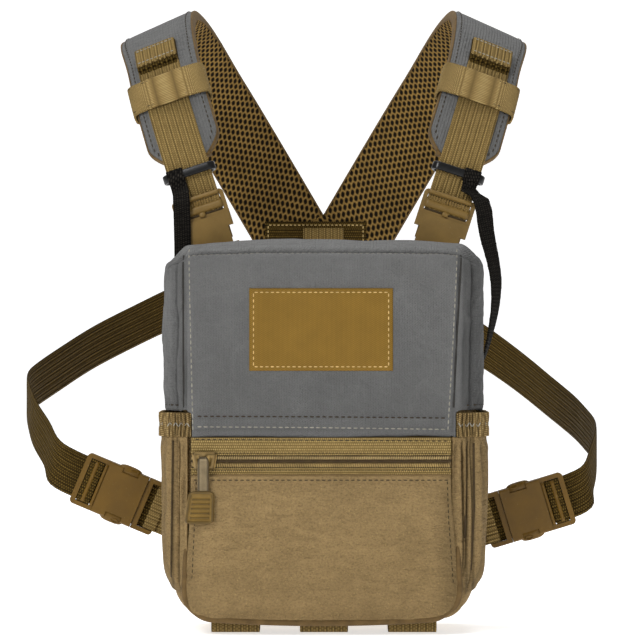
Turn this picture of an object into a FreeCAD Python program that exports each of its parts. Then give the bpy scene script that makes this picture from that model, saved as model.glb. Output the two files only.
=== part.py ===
import FreeCAD, Part
import math
import os
import re

os.makedirs("parts", exist_ok=True)

DOC = FreeCAD.newDocument("HarnessPack")
SHEET = DOC.addObject("Spreadsheet::Sheet", "Sheet")
NODES = []
V = FreeCAD.Vector
PLACED = FreeCAD.Placement

# All sizes in millimetres, angles in degrees. +X right, -Y front, +Z up.
# The origin lies on the rear face of the back panel, at half the pack's height.
SIZES = {
    "shell_half": 84, "shell_front": 80, "shell_rear": 1, "shell_floor": 104,
    "shell_rim": 85, "shell_wall": 3, "corner_outer": 25,
    "panel_front": 11, "panel_top": 80, "mesh_skin": 1, "panel_corner": 15,
    "lid_half": 89, "lid_wall": 3.5, "lid_front": 84, "lid_rear": 12, "lid_top": 105,
    "lid_gap": 0.5, "wing_low": 10.2, "lid_low": 3.1, "flap_half": 74, "lid_corner": 12,
    "lid_edge": 6,
    "label_wide": 80, "label_tall": 46, "label_mid": 1.6, "label_rise": 55.5,
    "label_thick": 1,
    "pocket_left": 77, "pocket_right": 71, "pocket_front": 88, "pocket_low": 106,
    "pocket_top": 25.4, "pocket_head": 4.5, "pocket_inset": 84.8,
    "tape_thick": 0.8, "tape_top": 4.6, "coil_top": 15, "coil_mid": 18.7, "coil_low": 22.4,
    "coil_out": 2.2,
    "slider_mid": 67.2, "slider_half": 4.6, "slider_high": 13.6, "slider_low": 23.6,
    "slider_back": 87.3, "slider_face": 89.3,
    "post_inner": 3, "post_outer": 4.2, "pin_depth": 91.2, "pin_level": 16,
    "pin_size": 0.8, "eye_size": 1.5, "eye_bore": 1.15,
    "link_half": 2.25, "link_thin": 0.8, "link_low": 36.5,
    "grip_top": 33.6, "grip_low": 53, "grip_head": 6.4, "grip_foot": 7.8, "grip_thin": 1.9,
    "side_out": 91.5, "side_wall": 1.5, "side_front": 83.3, "side_back": 12, "side_low": 96,
    "side_start_left": 77.3, "side_start_right": 71.3, "band_start": 74.6,
    "band_low": 4.4, "band_high": 9.1, "band_extra": 0.3, "side_corner": 5,
    "loop_half": 13.5, "loop_front": 76, "loop_back": 48, "loop_drop": 10, "loop_pitch": 49.5,
    "web_thick": 1.5, "web_half": 12.7,
    "body_half": 15.5, "body_thick": 4.75, "tunnel_long": 24, "cavity_deep": 21,
    "cavity_half": 13.4, "cavity_thick": 3, "window_near": 6, "window_far": 16,
    "window_depth": 12.2, "buckle_long": 38, "ladder_thick": 3,
    "slot_half": 13, "slot_near": 26.4, "bar_near": 28.3, "bar_far": 33.2, "slot_far": 35.1,
    "bar_thick": 1.8, "wrap_thick": 3.3,
    "base_long": 13, "base_thick": 3.5, "anchor_far": 8.5, "anchor_slot": 3.4,
    "anchor_thick": 1.7, "tongue_half": 3, "tongue_long": 17, "tongue_thick": 2,
    "prong_inner": 8.6, "prong_outer": 12.9, "base_gap": 0.3, "prong_near": 0.5, "prong_long": 18,
    "prong_thick": 2.4, "barb_near": 9,
    "strap_lean": 24.2, "strap_skew": 6.2, "strap_bend": 116.7, "strap_rise": 17.8,
    "strap_foot": 65.4, "strap_base": 107, "strap_plane": 1.35,
    "pad_half": 23.6, "pad_tip_half": 14, "pad_start": 50, "pad_taper": 14,
    "mesh_low": 8.3, "foam_low": 6.8, "foam_high": -1.8, "cover_high": -0.75,
    "ladder_place": 27, "ring_place": 41, "ring_tall": 2.5, "ring_bore": 2.4,
    "ring_wall": 1.8, "ring_reach": 11.6,
    "keeper_from": 85, "keeper_to": 112, "keeper_skin": 1.1,
    "web_end": 127, "block_from": 127, "block_to": 141, "block_high": 3.4,
    "yoke_half": 44, "yoke_low": 75, "yoke_tab_half": 13, "yoke_tab_low": 96,
    "yoke_tab_high": 120,
    "tether_half": 4.9, "tether_thick": 1.2, "tether_side": 8, "tether_room": 0.03,
    "buckle_depth": 5, "left_rise": 22.8, "right_rise": 16.9,
    "left_reach": 141.5, "left_level": 29.8, "right_reach": 141.7, "right_level": 41.7,
}


def fill_sheet():
    for row, (alias, value) in enumerate(SIZES.items(), start=1):
        SHEET.set("A%d" % row, alias)
        SHEET.set("B%d" % row, str(value))
        SHEET.setAlias("B%d" % row, alias)
    DOC.recompute()


def size(alias):
    return float(SHEET.get(alias))


def full(text):
    return re.sub(r"[a-z][a-z_]{3,}", lambda word: "Sheet." + word.group(0), text)


def box(lo, hi):
    """A block between two corners, each given as three expressions."""
    item = DOC.addObject("Part::Box", "Block")
    for prop, low, high in zip(("Length", "Width", "Height"), lo, hi):
        item.setExpression(prop, full("(%s) - (%s)" % (high, low)))
    for axis, low in zip("xyz", lo):
        item.setExpression(".Placement.Base." + axis, full(low))
    return item


def rod(radius, length, at, turn):
    """A cylinder; turn is the rotation of its axis from +Z."""
    item = DOC.addObject("Part::Cylinder", "Rod")
    item.setExpression("Radius", full(radius))
    item.setExpression("Height", full(length))
    item.Placement = PLACED(V(0, 0, 0), turn)
    for axis, value in zip("xyz", at):
        item.setExpression(".Placement.Base." + axis, full(value))
    return item


def cut(base, *tools):
    for tool in tools:
        item = DOC.addObject("Part::Cut", "Less")
        item.Base = base
        item.Tool = tool
        base = item
    return base


def join(*pieces):
    item = DOC.addObject("Part::MultiFuse", "Joined")
    item.Shapes = list(pieces)
    item.Refine = True
    return item


def rounded(base, radius, pick):
    """Rounds every edge whose middle point and direction satisfy pick."""
    DOC.recompute()
    edges = []
    for index, edge in enumerate(base.Shape.Edges, start=1):
        ends = [point.Point for point in edge.Vertexes]
        if len(ends) == 2 and pick((ends[0] + ends[1]) * 0.5, (ends[1] - ends[0]).normalize()):
            edges.append((index, radius, radius))
    item = DOC.addObject("Part::Fillet", "Round")
    item.Base = base
    item.Edges = edges
    return item


def node(label, item, placement=None):
    item.Label = label
    if placement is not None:
        item.Placement = placement
    NODES.append(item)
    return item


def shaped(label, shape):
    item = DOC.addObject("Part::Feature", "Piece")
    if shape.Volume < 0:
        shape.reverse()
    item.Shape = shape
    return node(label, item)


# ---- back panel, compartment and pockets -------------------------------------------

def along_depth(middle, direction):
    return abs(direction.y) > 0.9


def panel_slab(front, rear, half, low, top, low_radius, top_radius):
    slab = box(("-" + half, "-(%s)" % front, "-(%s)" % low), (half, "-(%s)" % rear, top))
    slab = rounded(slab, low_radius, lambda m, d: along_depth(m, d) and m.z < 0)
    if top_radius:
        slab = rounded(slab, top_radius, lambda m, d: along_depth(m, d) and m.z > 0)
    return slab


def make_panel():
    half = "(shell_half - shell_wall)"
    low = "shell_floor - shell_wall"
    inner = size("corner_outer") - size("shell_wall")
    top = size("panel_corner")
    node("back_panel_pad", panel_slab("panel_front", "mesh_skin", half, low, "panel_top", inner, top))
    node("back_panel_mesh", panel_slab("mesh_skin", "0", half, low, "panel_top", inner, top))


def make_shell():
    inner = size("corner_outer") - size("shell_wall")
    outside = panel_slab("shell_front", "shell_rear", "shell_half", "shell_floor", "shell_rim",
                         size("corner_outer"), 0)
    inside = panel_slab("shell_front - shell_wall", "-shell_rear", "(shell_half - shell_wall)",
                        "shell_floor - shell_wall", "shell_rim + shell_wall", inner, 0)
    node("main_shell", cut(outside, inside))


def make_front_pocket():
    lower = box(("-pocket_left", "-pocket_front", "-pocket_low"),
                ("pocket_right", "-shell_front", "-pocket_top"))
    lower = rounded(lower, size("corner_outer"), lambda m, d: along_depth(m, d) and m.z < -60)
    upper = box(("-pocket_left", "-pocket_inset", "-pocket_top"),
                ("pocket_right", "-shell_front", "-pocket_head"))
    node("front_pocket", join(lower, upper))


def make_zipper():
    rows = (("zipper_tape_upper", "tape_thick", "coil_top", "tape_top"),
            ("zipper_coil_upper", "coil_out", "coil_mid", "coil_top"),
            ("zipper_coil_lower", "coil_out", "coil_low", "coil_mid"),
            ("zipper_tape_lower", "tape_thick", "pocket_top", "coil_low"))
    for label, thick, low, high in rows:
        node(label, box(("-pocket_left", "-pocket_inset - " + thick, "-" + low),
                        ("pocket_right", "-pocket_inset", "-" + high)))


def make_side_pocket(word, side):
    """A gathered pocket that wraps the front corner, with its elastic band as a second ring."""
    def span(near, far):
        return (near, far) if side > 0 else ("-(%s)" % far, "-(%s)" % near)

    def upright(middle, direction):
        return abs(direction.z) > 0.9 and abs(middle.x) > size("shell_half") + 1

    def ring(start, low, high, extra, floor):
        lo, hi = span(start, "side_out + " + extra)
        outer = box((lo, "-side_front - " + extra, low), (hi, "-side_back + " + extra, high))
        outer = rounded(outer, size("side_corner"), upright)
        lo, hi = span("0", "shell_half")
        shell = box((lo, "-shell_front", low + " - 1"), (hi, "0", high + " + 1"))
        lo, hi = span("shell_half", "side_out - side_wall")
        inner = box((lo, "-shell_front + side_wall", low + floor),
                    (hi, "-side_back - side_wall", high + " + 1"))
        inner = rounded(inner, size("side_corner") - size("side_wall"), upright)
        return cut(outer, shell, inner)
    start = "side_start_" + word
    node("side_pocket_" + word, ring(start, "-side_low", "-band_low", "0", " + side_wall"))
    node("pocket_band_" + word, ring("band_start", "-band_low", "band_high", "band_extra", " - 1"))


def make_bottom_loops():
    for word, place in (("left", "-loop_pitch"), ("centre", "0"), ("right", "loop_pitch")):
        lo = "%s - loop_half" % place
        hi = "%s + loop_half" % place
        outer = box((lo, "-loop_front", "-shell_floor - loop_drop"), (hi, "-loop_back", "-shell_floor"))
        outer = rounded(outer, 4, lambda m, d: abs(d.x) > 0.9 and m.z < -size("shell_floor") - 1)
        inner = box((lo + " - 1", "-loop_front + web_thick", "-shell_floor - loop_drop + web_thick"),
                    (hi + " + 1", "-loop_back - web_thick", "-shell_floor - web_thick"))
        inner = rounded(inner, 2.5, lambda m, d: abs(d.x) > 0.9 and m.z < -size("shell_floor") - 4)
        node("bottom_loop_" + word, cut(outer, inner))


# ---- lid ----------------------------------------------------------------------------

def make_lid():
    corner = size("lid_corner")
    edge = size("lid_edge")
    thin = size("lid_wall")
    outer = box(("-lid_half", "-lid_front", "wing_low"), ("lid_half", "-lid_rear", "lid_top"))
    outer = rounded(outer, corner, lambda m, d: along_depth(m, d) and m.z > 90)
    outer = rounded(outer, edge, lambda m, d: m.y < 1 - size("lid_front") and m.z > 11)
    inner = box(("-lid_half + lid_wall", "-lid_front + lid_wall", "wing_low - 1"),
                ("lid_half - lid_wall", "-lid_rear + 5", "lid_top - lid_wall"))
    inner = rounded(inner, corner - thin, lambda m, d: along_depth(m, d) and m.z > 90)
    inner = rounded(inner, edge - thin, lambda m, d: m.y < 5 - size("lid_front") and m.z > 11)
    flap = box(("-flap_half", "-lid_front", "-lid_low"),
               ("flap_half", "-lid_front + lid_wall", "wing_low + lid_wall"))
    node("lid_cover", join(cut(outer, inner), flap))
    node("label_patch", box(("-label_mid - label_wide / 2", "-lid_front - label_thick",
                             "label_rise - label_tall / 2"),
                            ("-label_mid + label_wide / 2", "-lid_front", "label_rise + label_tall / 2")))


# ---- zipper slider and pull -----------------------------------------------------------

ACROSS = FreeCAD.Rotation(V(0, 1, 0), 90)


def make_slider():
    plate = box(("-slider_mid - slider_half", "-slider_face", "-slider_low"),
                ("-slider_mid + slider_half", "-slider_back", "-slider_high"))
    posts = []
    for near, far in (("-post_outer", "-post_inner"), ("post_inner", "post_outer")):
        posts.append(box(("-slider_mid + " + near, "-pin_depth - 1.2", "-pin_level - 1.4"),
                         ("-slider_mid + " + far, "-slider_face", "-pin_level + 1.4")))
    pin = rod("pin_size", "2 * post_outer", ("-slider_mid - post_outer", "-pin_depth", "-pin_level"),
              ACROSS)
    node("zipper_slider", join(plate, pin, *posts))


def make_pull():
    eye = rod("eye_size", "2 * link_half", ("-slider_mid - link_half", "-pin_depth", "-pin_level"),
              ACROSS)
    bar_lo = ("-slider_mid - link_half", "-pin_depth - link_thin", "-link_low")
    bar_hi = ("-slider_mid + link_half", "-pin_depth + link_thin", "-pin_level")
    bore = rod("eye_bore", "4 * link_half", ("-slider_mid - 2 * link_half", "-pin_depth", "-pin_level"),
               ACROSS)
    node("zipper_pull_link", cut(join(eye, box(bar_lo, bar_hi)), bore))
    grip = DOC.addObject("Part::Wedge", "Grip")
    for prop, value in (("Xmin", "-grip_thin"), ("Xmax", "grip_thin"), ("X2min", "-grip_thin"),
                        ("X2max", "grip_thin"), ("Ymin", "0"), ("Ymax", "grip_low - grip_top"),
                        ("Zmin", "-grip_foot"), ("Zmax", "grip_foot"), ("Z2min", "-grip_head"),
                        ("Z2max", "grip_head")):
        grip.setExpression(prop, full(value))
    turn = FreeCAD.Rotation(V(0, 1, 0), V(0, 0, 1), V(1, 0, 0), "ZXY")
    grip.Placement = PLACED(V(-size("slider_mid"), -size("pin_depth"), -size("grip_low")), turn)
    node("zipper_pull_grip", cut(grip, box(bar_lo, bar_hi)))


# ---- buckles --------------------------------------------------------------------------
# Local frame of a buckle: x outward from the mouth, y across, z towards the front.

def female_body():
    tunnel = box(("0", "-body_half", "-body_thick"), ("tunnel_long", "body_half", "body_thick"))
    tunnel = rounded(tunnel, 1.2, lambda m, d: abs(d.x) > 0.9)
    cavity = box(("-1", "-cavity_half", "-cavity_thick"), ("cavity_deep", "cavity_half", "cavity_thick"))
    notches = []
    for lo, hi in (("window_depth", "body_half + 1"), ("-body_half - 1", "-window_depth")):
        notches.append(box(("window_near", lo, "-body_thick - 1"), ("window_far", hi, "body_thick + 1")))
    frame = box(("tunnel_long", "-body_half", "-ladder_thick"), ("buckle_long", "body_half", "ladder_thick"))
    frame = rounded(frame, 2.5, lambda m, d: abs(d.z) > 0.9 and m.x > 30)
    near = box(("slot_near", "-slot_half", "-9"), ("bar_near", "slot_half", "9"))
    far = box(("bar_far", "-slot_half", "-9"), ("slot_far", "slot_half", "9"))
    over = box(("bar_near - 1", "-slot_half", "bar_thick"), ("bar_far + 1", "slot_half", "9"))
    under = box(("bar_near - 1", "-slot_half", "-9"), ("bar_far + 1", "slot_half", "-bar_thick"))
    return join(cut(tunnel, cavity, *notches), cut(frame, near, far, over, under))


def wrap_solid():
    """Webbing taken over the grip bar; its two ends lie together behind the ladder."""
    outer = box(("bar_near - web_thick", "-web_half", "-wrap_thick"),
                ("bar_far + web_thick", "web_half", "wrap_thick"))
    bar = box(("bar_near", "-web_half - 1", "-bar_thick"), ("bar_far", "web_half + 1", "bar_thick"))
    tail = box(("bar_near - web_thick", "-web_half", "-wrap_thick - web_thick"),
               ("buckle_long", "web_half", "-wrap_thick"))
    return cut(join(outer, tail), bar)


def male_body(with_prongs):
    base = box(("-base_long", "-body_half", "-base_thick"), ("-base_gap", "body_half", "base_thick"))
    base = rounded(base, 2, lambda m, d: abs(d.z) > 0.9 and m.x < -5)
    slot = box(("-anchor_far", "-slot_half", "-9"), ("-anchor_slot", "slot_half", "9"))
    over = box(("-base_long - 1", "-slot_half", "anchor_thick"), ("-anchor_far", "slot_half", "9"))
    under = box(("-base_long - 1", "-slot_half", "-9"), ("-anchor_far", "slot_half", "-anchor_thick"))
    tongue = box(("-1", "-tongue_half", "-tongue_thick"), ("tongue_long", "tongue_half", "tongue_thick"))
    base = cut(base, slot, over, under)
    extra = [prong_body(1), prong_body(-1)] if with_prongs else []
    if with_prongs:
        extra += [box(("-0.5", "prong_inner", "-prong_thick"),
                      ("prong_near + 0.1", "prong_inner + 2.6", "prong_thick")),
                  box(("-0.5", "-prong_inner - 2.6", "-prong_thick"),
                      ("prong_near + 0.1", "-prong_inner", "prong_thick"))]
    return join(base, tongue, *extra)


def prong_body(way):
    """A spring arm with a thicker barb at its tip, on one side of the tongue."""
    def across(near, far):
        return (near, far) if way > 0 else ("-(%s)" % far, "-(%s)" % near)
    lo, hi = across("prong_inner", "prong_inner + 2.6")
    arm = box(("prong_near", lo, "-prong_thick"), ("prong_long", hi, "prong_thick"))
    lo, hi = across("prong_inner", "prong_outer")
    barb = box(("barb_near", lo, "-prong_thick"), ("prong_long", hi, "prong_thick"))
    barb = rounded(barb, 1.5, lambda m, d: abs(d.z) > 0.9 and m.x > 15)
    return join(arm, barb)


def tab_solid(length):
    outer = box(("-base_long - web_thick", "-web_half", "-anchor_thick - web_thick"),
                ("-anchor_far + web_thick", "web_half", "anchor_thick + web_thick"))
    bar = box(("-base_long", "-web_half - 1", "-anchor_thick"),
              ("-anchor_far", "web_half + 1", "anchor_thick"))
    tail = box(("-base_long - web_thick - " + length, "-web_half", "-web_thick"),
               ("-base_long - web_thick", "web_half", "web_thick"))
    return join(cut(outer, bar), tail)


def buckle_place(mouth, outward):
    """Placement from the buckle's frame: x to outward, z to the front."""
    front = V(0, -1, 0)
    across = front.cross(outward)
    return PLACED(mouth, FreeCAD.Rotation(outward, across, front, "XZY"))


def side_buckle_place(word, side):
    rise = math.radians(size(word + "_rise"))
    outward = V(side * math.cos(rise), 0, math.sin(rise))
    end = V(side * size(word + "_reach"), -size("buckle_depth"), -size(word + "_level"))
    return buckle_place(end - outward * size("buckle_long"), outward), outward


def wall_block(side, deep):
    """The volume on the pack's side of the shell's outer face, used to trim side tabs."""
    lo, hi = ("0", "shell_half") if side > 0 else ("-shell_half", "0")
    return box((lo, "-%d" % deep, "-%d" % deep), (hi, "%d" % deep, "%d" % deep))


def make_side_buckles():
    for word, side in (("left", -1), ("right", 1)):
        place, outward = side_buckle_place(word, side)
        node("side_female_" + word, female_body(), place)
        node("side_wrap_" + word, wrap_solid(), place)
        node("side_male_" + word, male_body(False), place)
        for tag, way in (("upper", side), ("lower", -side)):
            node("side_prong_%s_%s" % (word, tag), prong_body(way), place)
        tab = tab_solid("30")
        tab.Placement = place
        node("side_tab_" + word, cut(tab, wall_block(side, 100)))


def make_shoulder_buckles():
    lift = size("wrap_thick") + size("web_thick") / 2
    half = size("web_thick") / 2
    for word, side in (("left", -1), ("right", 1)):
        end, outward, wide, face = shoulder_frame(side, size("ladder_place"))
        outward.y = 0
        outward.normalize()
        mouth = end - outward * size("buckle_long")
        mouth.y = size("strap_plane") - lift
        place = buckle_place(mouth, outward)
        node("shoulder_female_" + word, female_body(), place)
        node("shoulder_male_" + word, male_body(True), place)
        tab = tab_solid("20")
        tab.Placement = place
        under = box(("-100", "-100", "-100"), ("100", "100", "panel_top"))
        node("shoulder_tab_" + word, cut(tab, under))
        wrap = wrap_solid()
        wrap.Placement = place
        DOC.recompute()
        front = V(0, -1, 0)
        across = outward.cross(front) * side
        starts = [(place.multVec(V(reach, 0, -lift)), outward, across, front)
                  for reach in (size("buckle_long") - 2, size("buckle_long") + 1)]
        rest = [shoulder_frame(side, s) for s in pad_places() if s <= size("web_end")]
        lead = stations(size("ladder_place") + 8, size("pad_start"), 5)[:-1]
        rest = [shoulder_frame(side, s) for s in lead] + rest
        run = ribbon([section(f, size("web_half"), -half, half) for f in starts + rest])
        shaped("shoulder_webbing_" + word, wrap.Shape.fuse(run).removeSplitter())


# ---- straps -----------------------------------------------------------------------------

def flipped(vector, side):
    return V(vector.x * side, vector.y, vector.z)


def shoulder_frame(side, s):
    """Centre, direction, width direction and outward normal of a shoulder strap at length s."""
    lean = math.radians(size("strap_lean"))
    skew = math.tan(math.radians(size("strap_skew")))
    bend = size("strap_bend")
    rise = size("strap_rise")
    up = V(math.sin(lean), 0, math.cos(lean))
    inward = V(-math.cos(lean), 0, math.sin(lean))
    back = V(0, 1, 0)
    arc = math.pi * bend
    if s < rise:
        height, depth, turn = s, 0.0, 0.0
    elif s < rise + arc:
        turn = (s - rise) / bend
        height, depth = rise + bend * math.sin(turn), bend * (1 - math.cos(turn))
    else:
        height, depth, turn = 2 * rise + arc - s, 2 * bend, math.pi
    centre = V(size("strap_foot"), size("strap_plane"), size("strap_base"))
    centre = centre + up * height + back * depth + inward * (skew * s)
    along = up * math.cos(turn) + back * math.sin(turn) + inward * skew
    along.normalize()
    wide = inward - along * inward.dot(along)
    wide.normalize()
    face = up * math.sin(turn) - back * math.cos(turn)
    face = face - along * face.dot(along) - wide * face.dot(wide)
    face.normalize()
    return tuple(flipped(v, side) for v in (centre, along, wide, face))


def section(frame, half, low, high, shift=0.0):
    centre, along, wide, face = frame
    corners = []
    for across, out in ((-half, low), (half, low), (half, high), (-half, high)):
        corners.append(centre + wide * (across + shift) + face * out)
    return corners


def ribbon(sections):
    wires = [Part.makePolygon(corners + [corners[0]]) for corners in sections]
    return Part.makeLoft(wires, True, True)


def pad_end():
    """Length at which the inner edges of the two pads meet at the middle."""
    low, high = 300.0, 600.0
    while high - low > 0.001:
        mid = (low + high) / 2
        centre, along, wide, face = shoulder_frame(1, mid)
        if (centre + wide * size("pad_half")).x > 0.4:
            low = mid
        else:
            high = mid
    return low


def pad_half_at(s):
    share = min(1.0, max(0.0, (s - size("pad_start")) / size("pad_taper")))
    grow = math.sin(share * math.pi / 2)
    return size("pad_tip_half") + (size("pad_half") - size("pad_tip_half")) * grow


def stations(start, end, step):
    count = max(1, int(round((end - start) / step)))
    return [start + (end - start) * k / count for k in range(count + 1)]


def pad_places():
    """Stations along a pad: close together at its tapered tip, then evenly to the yoke."""
    places = stations(size("pad_start"), size("pad_start") + size("pad_taper"), 2.8)
    return places + stations(size("pad_start") + size("pad_taper"), pad_end(), 9)[1:]


def make_pads():
    layers = (("mesh", -size("mesh_low"), -size("foam_low")),
              ("foam", -size("foam_low"), size("foam_high")),
              ("cover", size("foam_high"), size("cover_high")))
    places = pad_places()
    for word, side in (("left", -1), ("right", 1)):
        frames = [(shoulder_frame(side, s), pad_half_at(s)) for s in places]
        for name, low, high in layers:
            shaped("shoulder_%s_%s" % (name, word),
                   ribbon([section(f, half, low, high) for f, half in frames]))


def make_pad_trim():
    skin = size("keeper_skin")
    for word, side in (("left", -1), ("right", 1)):
        top = size("web_thick") / 2
        near = pad_stations_near(size("keeper_from"), size("keeper_to"))
        frames = [shoulder_frame(side, s) for s in near[1:-1]]
        outer = ribbon([section(f, size("pad_half") + skin, -size("mesh_low") - skin, top + skin)
                        for f in frames])
        close = [shoulder_frame(side, s) for s in near]
        inner = ribbon([section(f, size("pad_half"), -size("mesh_low"), top) for f in close])
        shaped("keeper_band_" + word, outer.cut(inner))
        block = [shoulder_frame(side, s) for s in pad_stations_near(size("block_from"), size("block_to"))]
        shaped("webbing_block_" + word,
               ribbon([section(f, size("web_half"), size("cover_high"), size("block_high")) for f in block]))


def pad_stations_near(start, end):
    """Stations of the pad that cover the given stretch, so faces laid on it match it."""
    places = pad_places()
    below = max(s for s in places if s <= start)
    above = min(s for s in places if s >= end)
    return [s for s in places if below <= s <= above]


def make_yoke():
    frames = [shoulder_frame(side, pad_end()) for side in (1, -1)]
    inner = [f[0] + f[2] * size("pad_half") for f in frames]
    outer = [f[0] - f[2] * size("pad_half") for f in frames]
    low = -size("mesh_low")
    corners = [inner[0], outer[0], V(size("yoke_half"), 0, size("yoke_low")),
               V(-size("yoke_half"), 0, size("yoke_low")), outer[1], inner[1]]
    plane = frames[0][0].y
    layers = (("yoke_mesh", low, -size("foam_low")), ("yoke_foam", -size("foam_low"), size("foam_high")),
              ("yoke_cover", size("foam_high"), size("cover_high")))
    for label, near, far in layers:
        outline = [V(c.x, plane + near, c.z) for c in corners]
        face = Part.Face(Part.makePolygon(outline + [outline[0]]))
        shaped(label, face.extrude(V(0, far - near, 0)))
    front = plane + low
    shaped("yoke_loop", Part.makeBox(2 * size("yoke_tab_half"), size("web_thick"),
                                     size("yoke_tab_high") - size("yoke_tab_low"),
                                     V(-size("yoke_tab_half"), front - size("web_thick"),
                                       size("yoke_tab_low"))))


def curve_frames(points, step, upward):
    """Frames along a smooth curve; upward gives the wanted width direction for a share 0..1."""
    curve = Part.BSplineCurve()
    curve.interpolate(points)
    length = curve.length()
    frames = []
    for place in stations(0.0, length, step):
        param = curve.parameterAtDistance(place, curve.FirstParameter)
        along = curve.tangent(param)[0]
        want = upward(place / length)
        wide = want - along * want.dot(along)
        wide.normalize()
        frames.append((curve.value(param), along, wide, along.cross(wide)))
    return frames


SIDE_ROUTES = {
    "left": ((-153.5, 4.6, -23.5), (-161, 14.4, -13), (-168.5, 28, -2), (-174, 44, 8.5), (-176.5, 60, 15.5),
             (-175.4, 78, 19.5), (-170, 100, 24.5), (-160.2, 125, 32), (-142.4, 165, 44.5),
             (-119.8, 200, 57), (-99, 223, 67.5), (-70, 234.2, 80), (-52, 235.1, 87.5),
             (-44, 235.1, 91), (-32, 235.1, 95), (-20, 235.1, 99), (-8, 235.1, 103)),
    "right": ((151, 5.3, -37), (155.5, 13.3, -29), (159, 26, -20), (160.8, 42, -13.5), (160.5, 60, -9.5),
              (158.2, 80, -5.5), (154, 108, 0.5), (142, 150, 12), (124.4, 190, 27.5),
              (103, 219, 43.5), (74, 234.2, 62), (56, 235.1, 72.5), (46, 235.1, 78),
              (34, 235.1, 84), (22, 235.1, 89), (8, 235.1, 94.5)),
}


def make_side_straps():
    for word, side in (("left", -1), ("right", 1)):
        place, outward = side_buckle_place(word, side)
        mouth = place.Base
        start = []
        for reach, back in ((20, 1.8), (30, 2.2), (40, 2.8)):
            point = mouth + outward * reach
            start.append(V(point.x, back, point.z))
        points = start + [V(*p) for p in SIDE_ROUTES[word]]
        frames = curve_frames(points, 8, lambda share: V(0, 0, 1))
        half = size("web_thick") / 2
        shaped("side_strap_" + word, ribbon([section(f, size("web_half"), -half, half) for f in frames]))


# ---- tether rings and tethers ------------------------------------------------------------

def stadium(frame, reach, radius, tall):
    """A flattened loop cross-section standing along the strap, as a solid."""
    centre, along, wide, face = frame
    base = centre - along * tall
    ends = []
    for way in (1, -1):
        ends.append(Part.makeCylinder(radius, 2 * tall, base + wide * (way * reach), along))
    corners = [base + wide * (a * reach) + face * (b * radius) for a, b in ((-1, -1), (1, -1), (1, 1), (-1, 1))]
    middle = Part.Face(Part.makePolygon(corners + [corners[0]])).extrude(along * (2 * tall))
    return middle.fuse(ends).removeSplitter()


TETHER_ROUTES = {
    "left": ((-82.6, -7.6, 134), (-81.9, -9, 120), (-81.5, -9.1, 100), (-81.6, -7.4, 85)),
    "right": ((89.2, -6, 132), (93.5, -6.4, 116), (98.5, -5.6, 92), (99.6, -6, 74),
              (96, -6.4, 52), (91.2, -6.6, 36), (84.6, -6.6, 26)),
}
TETHER_ENDS = {"left": V(1, 0, 0), "right": V(0, 1, 0)}


def make_tethers():
    for word, side in (("left", -1), ("right", 1)):
        frame = shoulder_frame(side, size("ring_place"))
        centre, along, wide, face = frame
        tall = size("ring_tall")
        bore = size("ring_bore")
        thick = size("tether_thick")
        outer_radius = bore + size("ring_wall")
        hole = stadium(frame, size("ring_reach"), bore, tall + 1)
        shaped("tether_ring_" + word, stadium(frame, size("ring_reach"), outer_radius, tall).cut(hole))
        middle = centre - wide * size("tether_side")
        half = size("tether_half")
        top = (middle + along * (tall + thick), along, wide, face)
        low = (middle - along * (tall + thick), along, wide, face)
        sleeve = ribbon([section(f, half, bore - thick, outer_radius + thick) for f in (low, top)])
        top = (middle + along * tall, along, wide, face)
        foot = (middle - along * tall, along, wide, face)
        void = ribbon([section(f, half + 1, bore, outer_radius) for f in (foot, top)])
        start = middle - along * (tall + thick / 3) + face * (bore + size("ring_wall") / 2)
        points = [start, start - along * 5] + [V(*p) for p in TETHER_ROUTES[word]]
        first = V(abs(wide.x), 0, wide.z * (1 if wide.x > 0 else -1))
        last = TETHER_ENDS[word]
        frames = curve_frames(points, 6, lambda share: first * (1 - share) + last * share)
        run = ribbon([section(f, half, -thick / 2, thick / 2) for f in frames])
        room = size("tether_room")
        inner = stadium(frame, size("ring_reach"), bore - room, tall + 1)
        ring = stadium(frame, size("ring_reach"), outer_radius + room, tall + room).cut(inner)
        shaped("tether_" + word, sleeve.cut(void).fuse(run).cut(ring).removeSplitter())


# ---- checks and export ---------------------------------------------------------------------

def write_parts():
    DOC.recompute()
    for item in DOC.Objects:
        if "Invalid" in item.State or "Error" in item.State:
            raise RuntimeError("%s is not valid" % item.Label)
    for item in NODES:
        shape = item.Shape
        if shape.isNull() or not shape.isValid() or shape.Volume <= 0:
            raise RuntimeError("%s has no valid solid" % item.Label)
        if len(shape.Solids) != 1:
            raise RuntimeError("%s has %d solids" % (item.Label, len(shape.Solids)))
        shape.exportStep("parts/%s.step" % item.Label)
    print("nodes", len(NODES))


def main():
    fill_sheet()
    make_panel()
    make_shell()
    make_front_pocket()
    make_zipper()
    make_bottom_loops()
    for word, side in (("left", -1), ("right", 1)):
        make_side_pocket(word, side)
    make_lid()
    make_slider()
    make_pull()
    make_side_buckles()
    make_shoulder_buckles()
    make_pads()
    make_pad_trim()
    make_yoke()
    make_side_straps()
    make_tethers()
    write_parts()


main()
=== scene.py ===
import math

import bmesh
import bpy
import numpy as np
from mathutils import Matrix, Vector
from mathutils.bvhtree import BVHTree


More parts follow.
